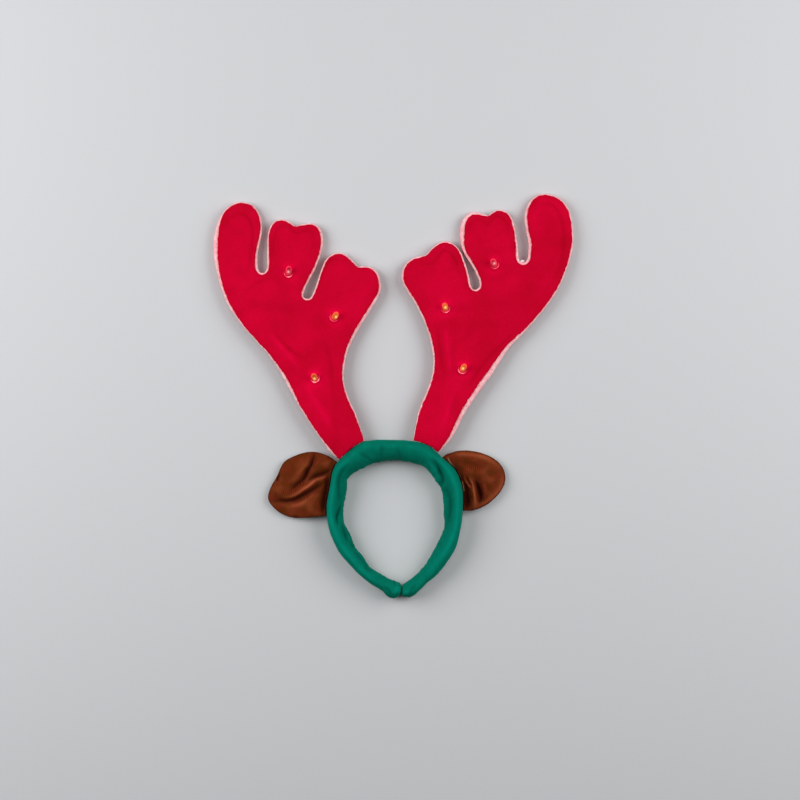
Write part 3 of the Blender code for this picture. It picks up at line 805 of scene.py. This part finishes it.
def make_piece(name, points, faces, material, nodes, tilt=0.0):
    """A mesh piece from points in millimetres, riding on the one body in place of its CAD nodes."""
    mesh = bpy.data.meshes.new(name)
    placed = np.asarray(points, float) @ np.array(Matrix.Rotation(-tilt, 3, "X")).T * MM
    mesh.from_pydata(placed.tolist(), [], whole(faces))
    mesh.validate()
    shape = bmesh.new()
    shape.from_mesh(mesh)
    gaps = [edge for edge in shape.edges if len(edge.link_faces) == 1]
    if gaps:
        bmesh.ops.holes_fill(shape, edges=gaps, sides=0)
    bmesh.ops.recalc_face_normals(shape, faces=shape.faces)
    shape.to_mesh(mesh)
    shape.free()
    mesh.shade_smooth()
    mesh.materials.append(material)
    piece = link(bpy.data.objects.new(name, mesh))
    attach(piece, "root")
    if nodes:
        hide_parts(*nodes)
    return piece


def paint(piece, name, values):
    attribute = piece.data.attributes.new(name, "FLOAT", "POINT")
    attribute.data.foreach_set("value", np.asarray(values, np.float32))


def bridge(first, second, count):
    """Quads between two closed rows of the same number of points."""
    return [(first + i, first + (i + 1) % count, second + (i + 1) % count, second + i)
            for i in range(count)]


def tube(rows, count, ends=False):
    """Quads between each of some closed rows and the next, with a face at each end where it is asked for."""
    faces = [face for row in range(rows - 1) for face in bridge(row * count, (row + 1) * count, count)]
    if ends:
        last = (rows - 1) * count
        faces += [tuple(range(count)), tuple(range(last, last + count))]
    return faces


def fill_outline(ring, grid_x, grid_y, clearance):
    """Triangles inside a ring, with grid points kept clear of it. Gives all the points and the faces."""
    low, high = ring.min(axis=0), ring.max(axis=0)
    inside = []
    for x in np.arange(low[0] + grid_x / 2, high[0], grid_x):
        crossings = ring_crossings(ring, x)
        for bottom, top in zip(crossings[::2], crossings[1::2]):
            rows = np.arange(math.ceil(bottom / grid_y), math.floor(top / grid_y) + 1) * grid_y
            inside.extend((x, y) for y in rows if bottom + clearance < y < top - clearance)
    tree = point_tree(ring)
    kept = [point for point in inside if tree.find((point[0], point[1], 0.0))[2] > clearance]
    corners = [Vector(point) for point in ring] + [Vector(point) for point in kept]
    count = len(ring)
    result = delaunay_2d_cdt(corners, [], [list(range(count))], 1, 1e-5)
    return result[0], result[2]


def ring_crossings(ring, x):
    found = []
    for start, end in zip(ring, np.roll(ring, -1, axis=0)):
        if (start[0] <= x) != (end[0] <= x):
            share = (x - start[0]) / (end[0] - start[0])
            found.append(start[1] + (end[1] - start[1]) * share)
    return sorted(found)


def facing(name, ring, base, upward, relief, marks, material, nodes, tilt):
    """A felt facing with rounded cut edges: its outer side lies above or below its base height."""
    way = 1.0 if upward else -1.0
    points = []
    for inset, height in FELT_EDGE:
        points.extend((x, y, base + way * height) for x, y in inset_ring(ring, inset))
    count = len(ring)
    faces = tube(len(FELT_EDGE), count)
    inner = inset_ring(ring, FELT_EDGE[-1].across)
    corners, triangles = fill_outline(inner, FELT_GRID, FELT_GRID, FELT_GRID * 0.6)
    top_start = (len(FELT_EDGE) - 1) * count
    offset = len(points) - count
    for x, y in [corner[:] for corner in corners[count:]]:
        points.append((x, y, base + way * (FELT_THICKNESS + relief(x, y))))
    faces.extend(tuple(top_start + corner if corner < count else offset + corner for corner in face)
                 for face in triangles)
    bottom = delaunay_2d_cdt([Vector(point) for point in inset_ring(ring, FELT_EDGE[0].across)], [],
                             [list(range(count))], 1, 1e-5)
    faces.extend(tuple(face) for face in bottom[2])
    piece = make_piece(name, points, faces, material, nodes, tilt)
    # Painted shade (pressed) and painted light (glow) on the felt's points
    for mark, values in zip(("pressed", "glow"), zip(*(marks(x, y) for x, y, _ in points))):
        paint(piece, mark, values)
    return piece


def add_antler(side, materials):
    """Foam board with its cut edge, and a felt facing on each side of it."""
    felt_solid = joined_solid(f"antler_{side}_front_felt")
    tilt = board_tilt(felt_solid)
    felt_heights = [corner.co.z for corner in levelled(felt_solid, tilt).verts]
    felt_base = min(felt_heights)
    foam_solid = levelled(joined_solid(f"antler_{side}_foam"), tilt)
    foam_heights = [corner.co.z for corner in foam_solid.verts]
    foam_middle = (min(foam_heights) + max(foam_heights)) / 2
    outline = smooth_ring(slice_ring(foam_solid, foam_middle), RING_STEP)
    front = smooth_ring(slice_ring(felt_solid, felt_base + FELT_THICKNESS / 2), RING_STEP)
    seed = SEEDS[side]
    cut = sum(jitter(outline, *wave, seed) for wave in CUT_WAVES)
    outline = outline + inward_normals(outline) * cut[:, None]
    front = eased_ring(nearest_on_ring(front, outline), 3)
    frayed = sum(jitter(outline, *wave, seed + row) for row, wave in enumerate(FRAY_WAVES, 1))
    front = front + inward_normals(front) * frayed[:, None]
    add_foam(side, outline, front, foam_middle, tilt, seed, materials["foam_edge"])
    if side == "right":
        add_tuft(foam_middle, tilt, materials["foam_edge"])
    lamps = {f"lamp_{side}_{number}": lamp_place(f"lamp_{side}_{number}", tilt) for number in (1, 2, 3)}
    finders = [crease_finder(crease) for crease in FELT_CREASES[side]]
    rim = point_tree(front)

    def front_relief(x, y):
        value = wave_at(FELT_WAVE, x, y, (seed, 0.0, 0.5)) + wave_at(FELT_RIPPLE, x, y, (0.0, seed, 1.5))
        for lamp in lamps.values():
            value -= ring_at(LAMP_DIP, math.dist((x, y), (lamp.x, lamp.y)))
        value -= crease_depth(finders, x, y)
        return value - edge_at(FELT_RIM_DROP, rim, x, y)

    def front_marks(x, y):
        """How much painted shade darkens the felt, at its rim, towards its foot, in its creases and below
        each lamp, together with its real patches of darker red; and how brightly painted light from the
        lamps and along its ridges lights it.
        """
        fold = crease_depth(finders, x, y) / CREASE_FULL
        # pressed: painted shade at the rim, towards the foot, in the creases and below the lamps, with real
        # patches of darker red
        pressed = edge_at(FELT_RIM_SHADE, rim, x, y)
        pressed += FOOT_SHADE * unit((FOOT_SHADE_FROM - y) / FOOT_SHADE_REACH)
        pressed += CREASE_SHADE * unit(fold)
        pressed += max(0.0, wave_at(FELT_PATCHES, x, y, (seed, 0.0, 8.0)) - 0.1 * FELT_PATCHES.height)
        # glow: painted highlight on the ridges and painted light round the lamps
        glow = RIDGE_GLOW * unit(-fold)
        for name, lamp in lamps.items():
            across, along = x - lamp.x, y - lamp.y
            off = math.hypot(across, along)
            bright = DIM_GLOW if name in DIM_LAMPS else 1.0
            glow += bright * math.exp(-(off / LAMP_GLOW_REACH) ** 2)
            pressed += ring_at(LAMP_SHADOW, off) * max(0.0, -along / max(off, 0.1))
        return min(1.0, pressed), min(1.0, glow)

    def back_marks(x, y):
        return 0.0, 0.0

    def back_relief(x, y):
        return (wave_at(BACK_WAVE, x, y, (seed, 0.0, 4.5)) + wave_at(BACK_RIPPLE, x, y, (0.0, seed, 7.5))
                - BACK_DROP)

    board_top = foam_middle + FOAM_HALF + BOARD_GAP
    board_bottom = foam_middle - FOAM_HALF - BOARD_GAP
    facing(f"felt_{side}_front", front, board_top, True, front_relief, front_marks,
                          materials["red_felt"], [f"antler_{side}_front_felt"], tilt)
    back = eased_ring(inset_ring(outline, BACK_INSET), 1)
    facing(f"felt_{side}_back", back, board_bottom, False, back_relief, back_marks,
                          materials["red_felt"], [f"antler_{side}_back_felt"], tilt)
    for name, lamp in lamps.items():
        add_lamp(name, lamp, board_top + FELT_THICKNESS, materials, tilt)


def add_tuft(middle, tilt, material):
    """A little tuft of wadding that pokes out of the cut edge at the bottom of a slot."""
    shape = bmesh.new()
    bmesh.ops.create_icosphere(shape, subdivisions=3, radius=1.0)
    points = []
    for corner in shape.verts:
        lump = 1.0 + noise.noise(corner.co * 1.9 + Vector((4.0, 2.0, 7.0))) * 0.75
        lump += noise.noise(corner.co * 5.0) * 0.35
        points.append((TUFT_PLACE[0] + corner.co.x * TUFT_SIZE[0] * lump,
                       TUFT_PLACE[1] + corner.co.y * TUFT_SIZE[1] * lump,
                       middle + 2.2 + corner.co.z * TUFT_SIZE[2] * lump))
    faces = [[corner.index for corner in face.verts] for face in shape.faces]
    shape.free()
    tuft = make_piece("foam_right_tuft", points, faces, material, [], tilt)
    paint(tuft, "bare", [1.0] * len(points))


def add_foam(side, outline, front, middle, tilt, seed, material):
    """The foam board: its upper edge slopes out from under the felt, and its wall is cut a little rough."""
    normals = inward_normals(outline)
    points = []
    count = len(outline)
    for row, (share, height) in enumerate(FOAM_WALL):
        ring = outline * (1 - share) + front * share
        if row == 0:
            ring = inset_ring(front, FOAM_TOP_INSET)
            height = FOAM_HALF
        if share < WALL_CUT_BELOW:
            rough = (jitter(ring + height * 2.3, *WALL_WAVE, seed + row * 0.37)
                     + jitter(ring, *WALL_LUMPS, seed + row * 0.12))
            ring = ring + normals * rough[:, None]
        points.extend((x, y, middle + height) for x, y in ring)
    for inset, height in FOAM_LOWER_EDGE:
        points.extend((x, y, middle + height) for x, y in inset_ring(outline, inset))
    rows = len(FOAM_WALL) + len(FOAM_LOWER_EDGE)
    faces = tube(rows, count)
    for start, flip in ((0, False), ((rows - 1) * count, True)):
        corners = [Vector(point[:2]) for point in points[start:start + count]]
        cap = delaunay_2d_cdt(corners, [], [list(range(count))], 1, 1e-5)
        faces.extend(tuple(start + corner for corner in (face[::-1] if flip else face)) for face in cap[2])
    piece = make_piece(f"foam_{side}", points, faces, material, [f"antler_{side}_foam"], tilt)
    paint(piece, "bare", [max(0.0, wave_at(BARE_PATCHES, x, y, (0.0, 0.0, z / BARE_PATCHES.size + seed)))
                          for x, y, z in points])


LampPlace = namedtuple("LampPlace", "x y lean_x lean_y")


def lamp_place(name, tilt):
    """Where a lamp stands on the levelled board, and how far its dome leans."""
    lens = levelled(joined_solid(f"{name}_lens"), tilt)
    heights = [corner.co.z for corner in lens.verts]
    foot = [corner.co for corner in lens.verts if corner.co.z < min(heights) + 0.1]
    tip = [corner.co for corner in lens.verts if corner.co.z > max(heights) - 0.1]
    foot_middle = sum(foot, Vector()) / len(foot)
    tip_middle = sum(tip, Vector()) / len(tip)
    return LampPlace(foot_middle.x, foot_middle.y, tip_middle.x - foot_middle.x,
                     tip_middle.y - foot_middle.y)


def add_lamp(name, lamp, base, materials, tilt):
    """A domed lens leaning out of a rounded clear collar."""
    rows = [(LENS_RADIUS * row.across, LENS_FOOT + LENS_SHOULDER * row.up) for row in LENS_WALL]
    for step in range(1, DOME_STEPS + 1):
        angle = step * DOME_TURN
        rows.append((LENS_RADIUS * math.cos(angle),
                     LENS_SHOULDER + (LENS_TOP - LENS_SHOULDER) * math.sin(angle)))
    points = []
    for radius, height in rows:
        lean = max(0.0, height - LENS_NECK) / (LENS_TOP - LENS_NECK)
        for angle in full_turn(LENS_SIDES):
            across, along = math.cos(angle), math.sin(angle)
            points.append((lamp.x + lamp.lean_x * lean + radius * across,
                           lamp.y + lamp.lean_y * lean + radius * along, base + height))
    faces = tube(len(rows), LENS_SIDES, ends=True)
    kind = "led_lens_dim" if name in DIM_LAMPS else "led_lens"
    lens = make_piece(f"{name}_dome", points, faces, materials[kind], [f"{name}_lens"], tilt)
    marks = [lens_marks(name, lamp, x, y, z - base) for x, y, z in points]
    for mark, values in zip(("lit", "rim", "foot"), zip(*marks)):
        paint(lens, mark, values)
    points = []
    marks = []
    for radius, height in COLLAR_PROFILE:
        for angle in full_turn(LENS_SIDES):
            points.append((lamp.x + radius * math.cos(angle), lamp.y + radius * math.sin(angle),
                           base + height))
            marks.append(collar_marks(name, lamp, radius, angle))
    rows = len(COLLAR_PROFILE)
    faces = tube(rows, LENS_SIDES) + bridge((rows - 1) * LENS_SIDES, 0, LENS_SIDES)
    collar = make_piece(f"{name}_ring", points, faces, materials["led_collar"],
                        [f"{name}_collar"], tilt)
    for mark, values in zip(("lit", "foot"), zip(*marks)):
        paint(collar, mark, values)


def collar_marks(name, lamp, radius, angle):
    """The clear collar's painted light, a pale crescent away from the lean, and its painted shade beside the
    lens.
    """
    away = math.atan2(-lamp.lean_y, -lamp.lean_x)
    turn = (angle - away + math.pi) % (2 * math.pi) - math.pi
    crescent = max(0.0, math.cos(turn * 0.82)) ** 1.1
    band = math.exp(-((radius - 4.15) / 0.5) ** 2)
    uneven = 0.9 + 0.8 * ripple(math.cos(angle) * 1.6 + lamp.x, math.sin(angle) * 1.6, 2.0)
    lit = COLLAR_SHINE[name] * crescent * band * uneven
    return min(1.0, lit), unit((4.0 - radius) / 0.5)


def lens_marks(name, lamp, x, y, height):
    """A lens's painted light and shade at a place: its hot spot, the glow of a lit lamp and a painted
    highlight on a dim one; how near its rim it is, where painted light pales it; and how dark its foot is
    with painted shade.
    """
    x, y = x - lamp.x, y - lamp.y
    moved_x, moved_y = HOT_SPOT_MOVES.get(name, (0.0, 0.0))
    spot = math.dist((x, y), (lamp.lean_x * HOT_SPOT_LEAN + moved_x, lamp.lean_y * HOT_SPOT_LEAN + moved_y))
    share = (x * lamp.lean_x + y * lamp.lean_y) / (lamp.lean_x ** 2 + lamp.lean_y ** 2)
    farthest = 0.82 - 0.82 / math.hypot(lamp.lean_x, lamp.lean_y)
    share = min(farthest, max(0.0, share))
    off = math.dist((x, y), (lamp.lean_x * share, lamp.lean_y * share))
    lit = math.exp(-(spot / HOT_SPOT_RADIUS) ** 2) if height > LENS_NECK else 0.0
    rim = unit((off - 1.3) / 1.0)
    foot = unit(1.0 - height / LENS_NECK) * 0.8
    return lit, rim, max(foot, DEEP_CORES.get(name, 0.0) * (1.0 - rim))


def middle_line(points, step):
    """Points at even steps along a smooth open line, with the line's direction at each."""
    line = [Vector((*point, 0.0)) for point in points]
    line = [line[0] * 2 - line[1]] + line + [line[-1] * 2 - line[-2]]
    dense = []
    for before, start, end, after in zip(line, line[1:], line[2:], line[3:]):
        for share in np.arange(12) / 12:
            leave, arrive = (end - before) / 2, (after - start) / 2
            dense.append(hermite(np.array(start), np.array(end), np.array(leave), np.array(arrive), share))
    dense.append(np.array(line[-2]))
    dense = np.array(dense)
    lengths = np.concatenate([[0.0], np.cumsum(np.linalg.norm(np.diff(dense, axis=0), axis=1))])
    count = max(2, round(lengths[-1] / step))
    wanted = np.linspace(0.0, lengths[-1], count + 1)
    places = np.stack([np.interp(wanted, lengths, dense[:, axis]) for axis in range(3)], axis=1)
    ways = np.gradient(places, axis=0)
    ways /= np.linalg.norm(ways, axis=1)[:, None]
    return places, ways, wanted


def band_rings(tree):
    """Rings of the sleeve, each found by looking outwards from the middle of the CAD band."""
    places, ways, along = middle_line(BAND_MIDDLE, BAND_STEP)
    rings = []
    for place, way in zip(places, ways):
        centre = Vector((place[0], place[1], BAND_CORE_HEIGHT))
        outward = Vector((way[1], -way[0], 0.0)) * -1.0
        inner = tree.ray_cast(centre, -outward)[3]
        outer = tree.ray_cast(centre, outward)[3]
        if inner is None or outer is None:
            continue
        centre += outward * (outer - inner) / 2
        ring = []
        for angle in full_turn(BAND_AROUND):
            look = outward * math.cos(angle) + Vector((0, 0, math.sin(angle)))
            hit = tree.ray_cast(centre, look)[0]
            ring.append(hit)
        rings.append((centre, outward, ring))
    return rings, along


def pleat_at(angle):
    return math.cos(angle * PLEATS + PLEAT_TURN)


def add_band(material):
    """The sleeve: a soft tube with gathers on its inner side and puckered, rounded tips."""
    tree = BVHTree.FromBMesh(joined_solid("band_sleeve"))
    rings, along = band_rings(tree)
    finders = [crease_finder(crease) for crease in BAND_CREASES]
    count = len(rings)
    points = []
    painted_shade = []
    painted_highlight = []
    for index, (centre, _, ring) in enumerate(rings):
        place = along[index]
        to_tip = min(index, count - 1 - index) * BAND_STEP
        for angle, hit in zip(full_turn(BAND_AROUND), ring):
            look = (hit - centre).normalized()
            x, y, z = hit
            free = unit((z - TABLE_GRIP) / TABLE_EASE)
            inner = max(0.0, -math.cos(angle))
            upper = max(0.0, math.sin(angle))
            depth = crease_depth(finders, x, y) * BAND_CREASE_SHARE * upper ** 0.4
            gather = ripple(place / GATHER_LENGTH, angle * 0.7, 2.0) * GATHER_HEIGHT * inner ** 1.5
            gather += ripple(place / SLEEVE_WAVE_LENGTH, angle * 1.1, 5.0) * (0.22 + 0.33 * inner)
            gather += ripple(x / 2.2, y / 2.2, z / 2.2) * 0.10
            pleat = pleat_at(angle) * PLEAT_HEIGHT * math.exp(-to_tip / PLEAT_REACH)
            bulb = sum(swell * math.exp(-(math.dist((x, y), spot) / BULB_REACH) ** 2)
                       for spot, swell in TIP_BULBS)
            move = (gather + pleat - depth + bulb * max(0.0, math.cos(angle))) * free
            moved = hit + look * move
            points.append(Vector((moved.x, moved.y, max(0.0, moved.z))))
            # Painted shade in the creases, in the gathers of the inner side and on the lower outer wall;
            # painted highlight along the ridges
            dark = max(0.0, depth) * 0.24 + max(0.0, -gather - 0.25) * 0.3 * inner
            dark += 0.4 * max(0.0, math.cos(angle)) ** 3 * max(0.0, 0.6 - upper)
            painted_shade.append(min(0.85, dark))
            painted_highlight.append(min(0.8, max(0.0, -depth) * 0.45))
    rows = [points[index * BAND_AROUND:(index + 1) * BAND_AROUND] for index in range(count)]
    start_cap = tip_rows(rings[0], tree, Vector((1.0, 0.0, 0.0)))
    end_cap = tip_rows(rings[-1], tree, Vector((-1.0, 0.0, 0.0)))
    rows = start_cap[::-1] + rows + end_cap
    flat = [point[:] for row in rows for point in row]
    faces = tube(len(rows), BAND_AROUND, ends=True)
    piece = make_piece("band", flat, faces, material, ["band_sleeve"])
    for name, values in (("painted_shade", painted_shade), ("painted_highlight", painted_highlight)):
        first = values[:BAND_AROUND] * len(start_cap)
        paint(piece, name, first + values + values[-BAND_AROUND:] * len(end_cap))


def tip_rows(ring, tree, way):
    """Rows that round a tip off, found by looking out through the end of the CAD band."""
    centre, outward, _ = ring
    rows = []
    for step in range(1, TIP_ROWS):
        turn = TIP_TURN * step / TIP_ROWS
        row = []
        for angle in full_turn(BAND_AROUND):
            side = outward * math.cos(angle) + Vector((0, 0, math.sin(angle)))
            look = side * math.cos(turn) + way * math.sin(turn)
            hit = tree.ray_cast(centre, look)[0]
            pleat = pleat_at(angle) * TIP_PLEAT_HEIGHT * math.sin(turn * 2) * unit(hit.z / TABLE_EASE)
            moved = hit + look * (pleat + 0.1 * math.sin(turn))
            row.append(Vector((moved.x, moved.y, max(0.0, moved.z))))
        rows.append(row)
    return rows


def outer_ring(solid):
    """The outline of a padded solid, from the upright faces of its seam, counter-clockwise."""
    places = {}
    neighbours = {}
    for face in solid.faces:
        if abs(face.normal.z) > 0.01:
            continue
        for edge in face.edges:
            keys = [tuple(round(value, 1) for value in corner.co.xy) for corner in edge.verts]
            if keys[0] == keys[1]:
                continue
            for key, corner in zip(keys, edge.verts):
                places[key] = corner.co.xy[:]
            join(neighbours, *keys)
    return walk_ring(neighbours, places)


def walk_ring(neighbours, places):
    """The closed ring that the neighbours form, as x and y, counter-clockwise."""
    start = min(neighbours, key=lambda key: places[key])
    ring = [start]
    before, here = None, start
    while True:
        ahead = sorted((key for key in neighbours[here] if key != before), key=lambda key: places[key])
        before, here = here, ahead[0]
        if here == start:
            break
        ring.append(here)
    points = np.array([places[key] for key in ring])
    return points if signed_area(points) > 0 else points[::-1]


def heights_on(source, places, above):
    return np.array([surface_height(source, x, y, above) for x, y in places])


def both_heights(source, flat, triangles, fixed, easing):
    """Heights of an ear's upper and lower side, found on a shell and evened out over their neighbours."""
    links = neighbours_of(triangles)
    return [eased_heights(heights_on(source, flat, above), links, fixed, rounds)
            for above, rounds in zip((True, False), easing)]


def ear_shell(ring, grid, heights):
    """Points and faces of an ear: the upper side, five rows round the seam and the lower side."""
    normals = inward_normals(ring)
    inner = inset_ring(ring, EAR_TOP_INSET)
    corners, triangles = fill_outline(inner, grid.x, grid.y, grid.clearance)
    flat = np.array([corner[:] for corner in corners])
    over, under, seam = heights(flat, ring + normals * 0.25, triangles)
    points = [(x, y, z) for (x, y), z in zip(flat, over)]
    middle = seam.mean(axis=0)
    half = np.maximum(0.35, (seam[0] - seam[1]) / 2)
    for inset, up in EAR_SEAM:
        points.extend((x, y, z) for (x, y), z in zip(ring + normals * inset, middle + half * up))
    points.extend((x, y, z) for (x, y), z in zip(flat, under))
    size, count = len(flat), len(ring)
    faces = [tuple(face) for face in triangles]
    lower = size + len(EAR_SEAM) * count
    rows = [0, *range(size, lower + 1, count)]
    for first, second in zip(rows, rows[1:]):
        faces.extend(bridge(first, second, count))
    faces.extend(tuple(lower + corner for corner in face[::-1]) for face in triangles)
    return flat, points, faces


def add_ear(side, material):
    """Two layers of ribbed cloth round a filling, sewn together round their edge and drawn into folds."""
    tree = BVHTree.FromBMesh(joined_solid(f"ear_{side}"))
    outline = outer_ring(joined_solid(f"ear_{side}"))
    finders = [crease_finder(crease) for crease in EAR_CREASES[side]]

    def seam_heights(edge):
        return np.array([heights_on(tree, edge, above) for above in (True, False)])

    def filled_at(rim, x, y):
        return 1.0 - math.exp(-rim.find((x, y, 0.0))[2] / EAR_SEAM_REACH)

    def coarse_heights(flat, edge, triangles):
        rim = point_tree(edge)
        over, under = both_heights(tree, flat, triangles, len(edge), EAR_COARSE.easing)
        folds = np.array([crease_depth(finders, x, y) * filled_at(rim, x, y) for x, y in flat])
        over = np.maximum(over - folds * EAR_COARSE_SHARE, under + EAR_COARSE.thinnest)
        return over, np.maximum(under, 0.0), seam_heights(edge)

    ring = smooth_ring(outline, EAR_COARSE.ring_step)
    flat, points, faces = ear_shell(ring, EAR_COARSE, coarse_heights)
    count = len(ring)
    share, most = EAR_CLOTH_HOLD
    pressed = np.array([min(most, abs(crease_depth(finders, x, y)) * share) for x, y in flat])
    low = np.array([1.0 if z < EAR_TABLE_HEIGHT else EAR_LOOSE_HOLD for _, _, z in points[-len(flat):]])
    pressed[:count] = low[:count] = 1.0
    held = np.concatenate([pressed, np.ones(len(EAR_SEAM) * count), low])
    shell = shell_tree(cloth_relaxed(f"ear_{side}_shell", points, faces, held), faces)

    ring = smooth_ring(outline, EAR_FINE.ring_step)
    rim = point_tree(ring)
    painted_on = {"rib": [], "painted_highlight": [], "painted_shade": [], "raw": []}

    def fine_heights(flat, edge, triangles):
        over, under = both_heights(shell, flat, triangles, len(ring), EAR_FINE.easing)
        seam = seam_heights(edge)
        over[:len(ring)] = seam[0] - 0.15
        under[:len(ring)] = seam[1] + 0.05
        rises, drops = [], []
        for (x, y), low in zip(flat, under):
            off = rim.find((x, y, 0.0))[2]
            filled = 1.0 - math.exp(-off / EAR_SEAM_REACH)
            fold = crease_depth(finders, x, y)
            bend = wave_at(RIB_BEND, x, y, (0.0, 0.0, 3.0)) + fold * 0.5
            faded = min(1.0, max(0.15, 0.6 + ripple(x / 9.0, y / 12.0, 12.0) * RIB_FADE))
            wave = 0.5 + 0.5 * faded * math.cos(2 * math.pi * (x + bend - RIB_SLANT * y) / RIB_PITCH)
            crumple = ripple(x / 6.0, y / 9.0, 6.0) * CRUMPLE * filled
            rises.append(wave * RIB_HEIGHT - fold * filled * (1.0 - EAR_COARSE_SHARE) + crumple)
            lower_wave = 0.5 + 0.5 * math.cos(2 * math.pi * (x - bend * 0.4) / RIB_PITCH)
            drops.append(lower_wave * RIB_HEIGHT * 0.5 * filled if low > 0.05 else 0.0)
            # Painted shade between the ribs, painted highlight on the ridges and in sheen patches, and
            # painted shade in the folds, along the edge and at the tuck
            painted_on["rib"].append(wave)
            sheen_patches = SHEEN_PATCHES * max(0.0, ripple(x / 11.0, y / 8.0, 15.0))
            painted_on["painted_highlight"].append(min(0.85, max(0.0, -fold) * 0.36 + sheen_patches))
            dark = ring_at(EAR_RIM_SHADE, off)
            if side == "left":
                dark = max(dark, ring_at(EAR_NICK_SHADE, path_distance(EAR_NICK, x, y)))
            painted_on["painted_shade"].append(min(0.96, max(0.0, fold) * 0.22 * (0.85 + 0.3 * wave) + dark))
            painted_on["raw"].append(raw_edge(side, x, y))
        under = np.maximum(0.0, under - np.array(drops))
        return np.maximum(over + np.array(rises), under + EAR_FINE.thinnest), under, seam

    flat, points, faces = ear_shell(ring, EAR_FINE, fine_heights)
    piece = make_piece(f"ear_{side}_cloth", points, faces, material, [f"ear_{side}"])
    seams = {name: [value] * len(ring) for name, value in EAR_SEAM_MARKS.items()}
    seams["raw"] = [raw_edge(side, x, y) for x, y in ring]
    for name, upper in painted_on.items():
        lower = upper if name in ("rib", "painted_highlight") else [0.0] * len(flat)
        paint(piece, name, upper + seams[name] * len(EAR_SEAM) + lower)


def raw_edge(side, x, y):
    """How much of the cloth's pale cut edge shows at a place, beside the band on the right ear."""
    if side != "right":
        return 0.0
    shown = 0.0
    for path, strength in RAW_EDGE:
        broken = strength * (1.0 + 1.1 * ripple(x / 1.6, y / 1.6, 9.0))
        shown = max(shown, broken * math.exp(-(path_distance(path, x, y) / RAW_EDGE_WIDTH) ** 2))
    return min(0.9, shown)


def path_distance(path, x, y):
    place = Vector((x, y))
    runs = [(Vector(start), Vector(end) - Vector(start)) for start, end in zip(path, path[1:])]
    return min((place - start - run * unit((place - start).dot(run) / run.length_squared)).length
               for start, run in runs)


def surface_height(tree, x, y, from_above):
    """Where an upright line meets a shell; at its very edge, the height of the nearest place on it."""
    side = 1.0 if from_above else -1.0
    hit = tree.ray_cast(Vector((x, y, FAR * side)), Vector((0, 0, -side)))[0]
    return (hit or tree.find_nearest(Vector((x, y, EAR_MIDDLE)))[0]).z


def neighbours_of(triangles):
    """Pairs of points that share an edge."""
    pairs = {tuple(sorted(pair)) for face in triangles for pair in zip(face, face[1:] + face[:1])}
    return np.array(sorted(pairs))


def eased_heights(heights, links, fixed, rounds):
    """Heights evened out over their neighbours, with the first ones kept."""
    first, second = links[:, 0], links[:, 1]
    weight = np.bincount(first, minlength=len(heights)) + np.bincount(second, minlength=len(heights))
    eased = heights.astype(float).copy()
    for _ in range(rounds):
        total = (np.bincount(first, eased[second], len(heights))
                 + np.bincount(second, eased[first], len(heights)))
        fresh = 0.4 * eased + 0.6 * total / np.maximum(weight, 1)
        fresh[:fixed] = heights[:fixed]
        eased = fresh
    return eased


def main():
    clear_stage()
    add_camera()
    materials = {name: make_material(name, look) for name, look in LOOKS.items()}
    add_floor(materials["floor"])
    set_light()
    for side in SIDES:
        add_antler(side, materials)
        add_ear(side, materials["brown_fabric"])
    add_band(materials["green_fabric"])


main()
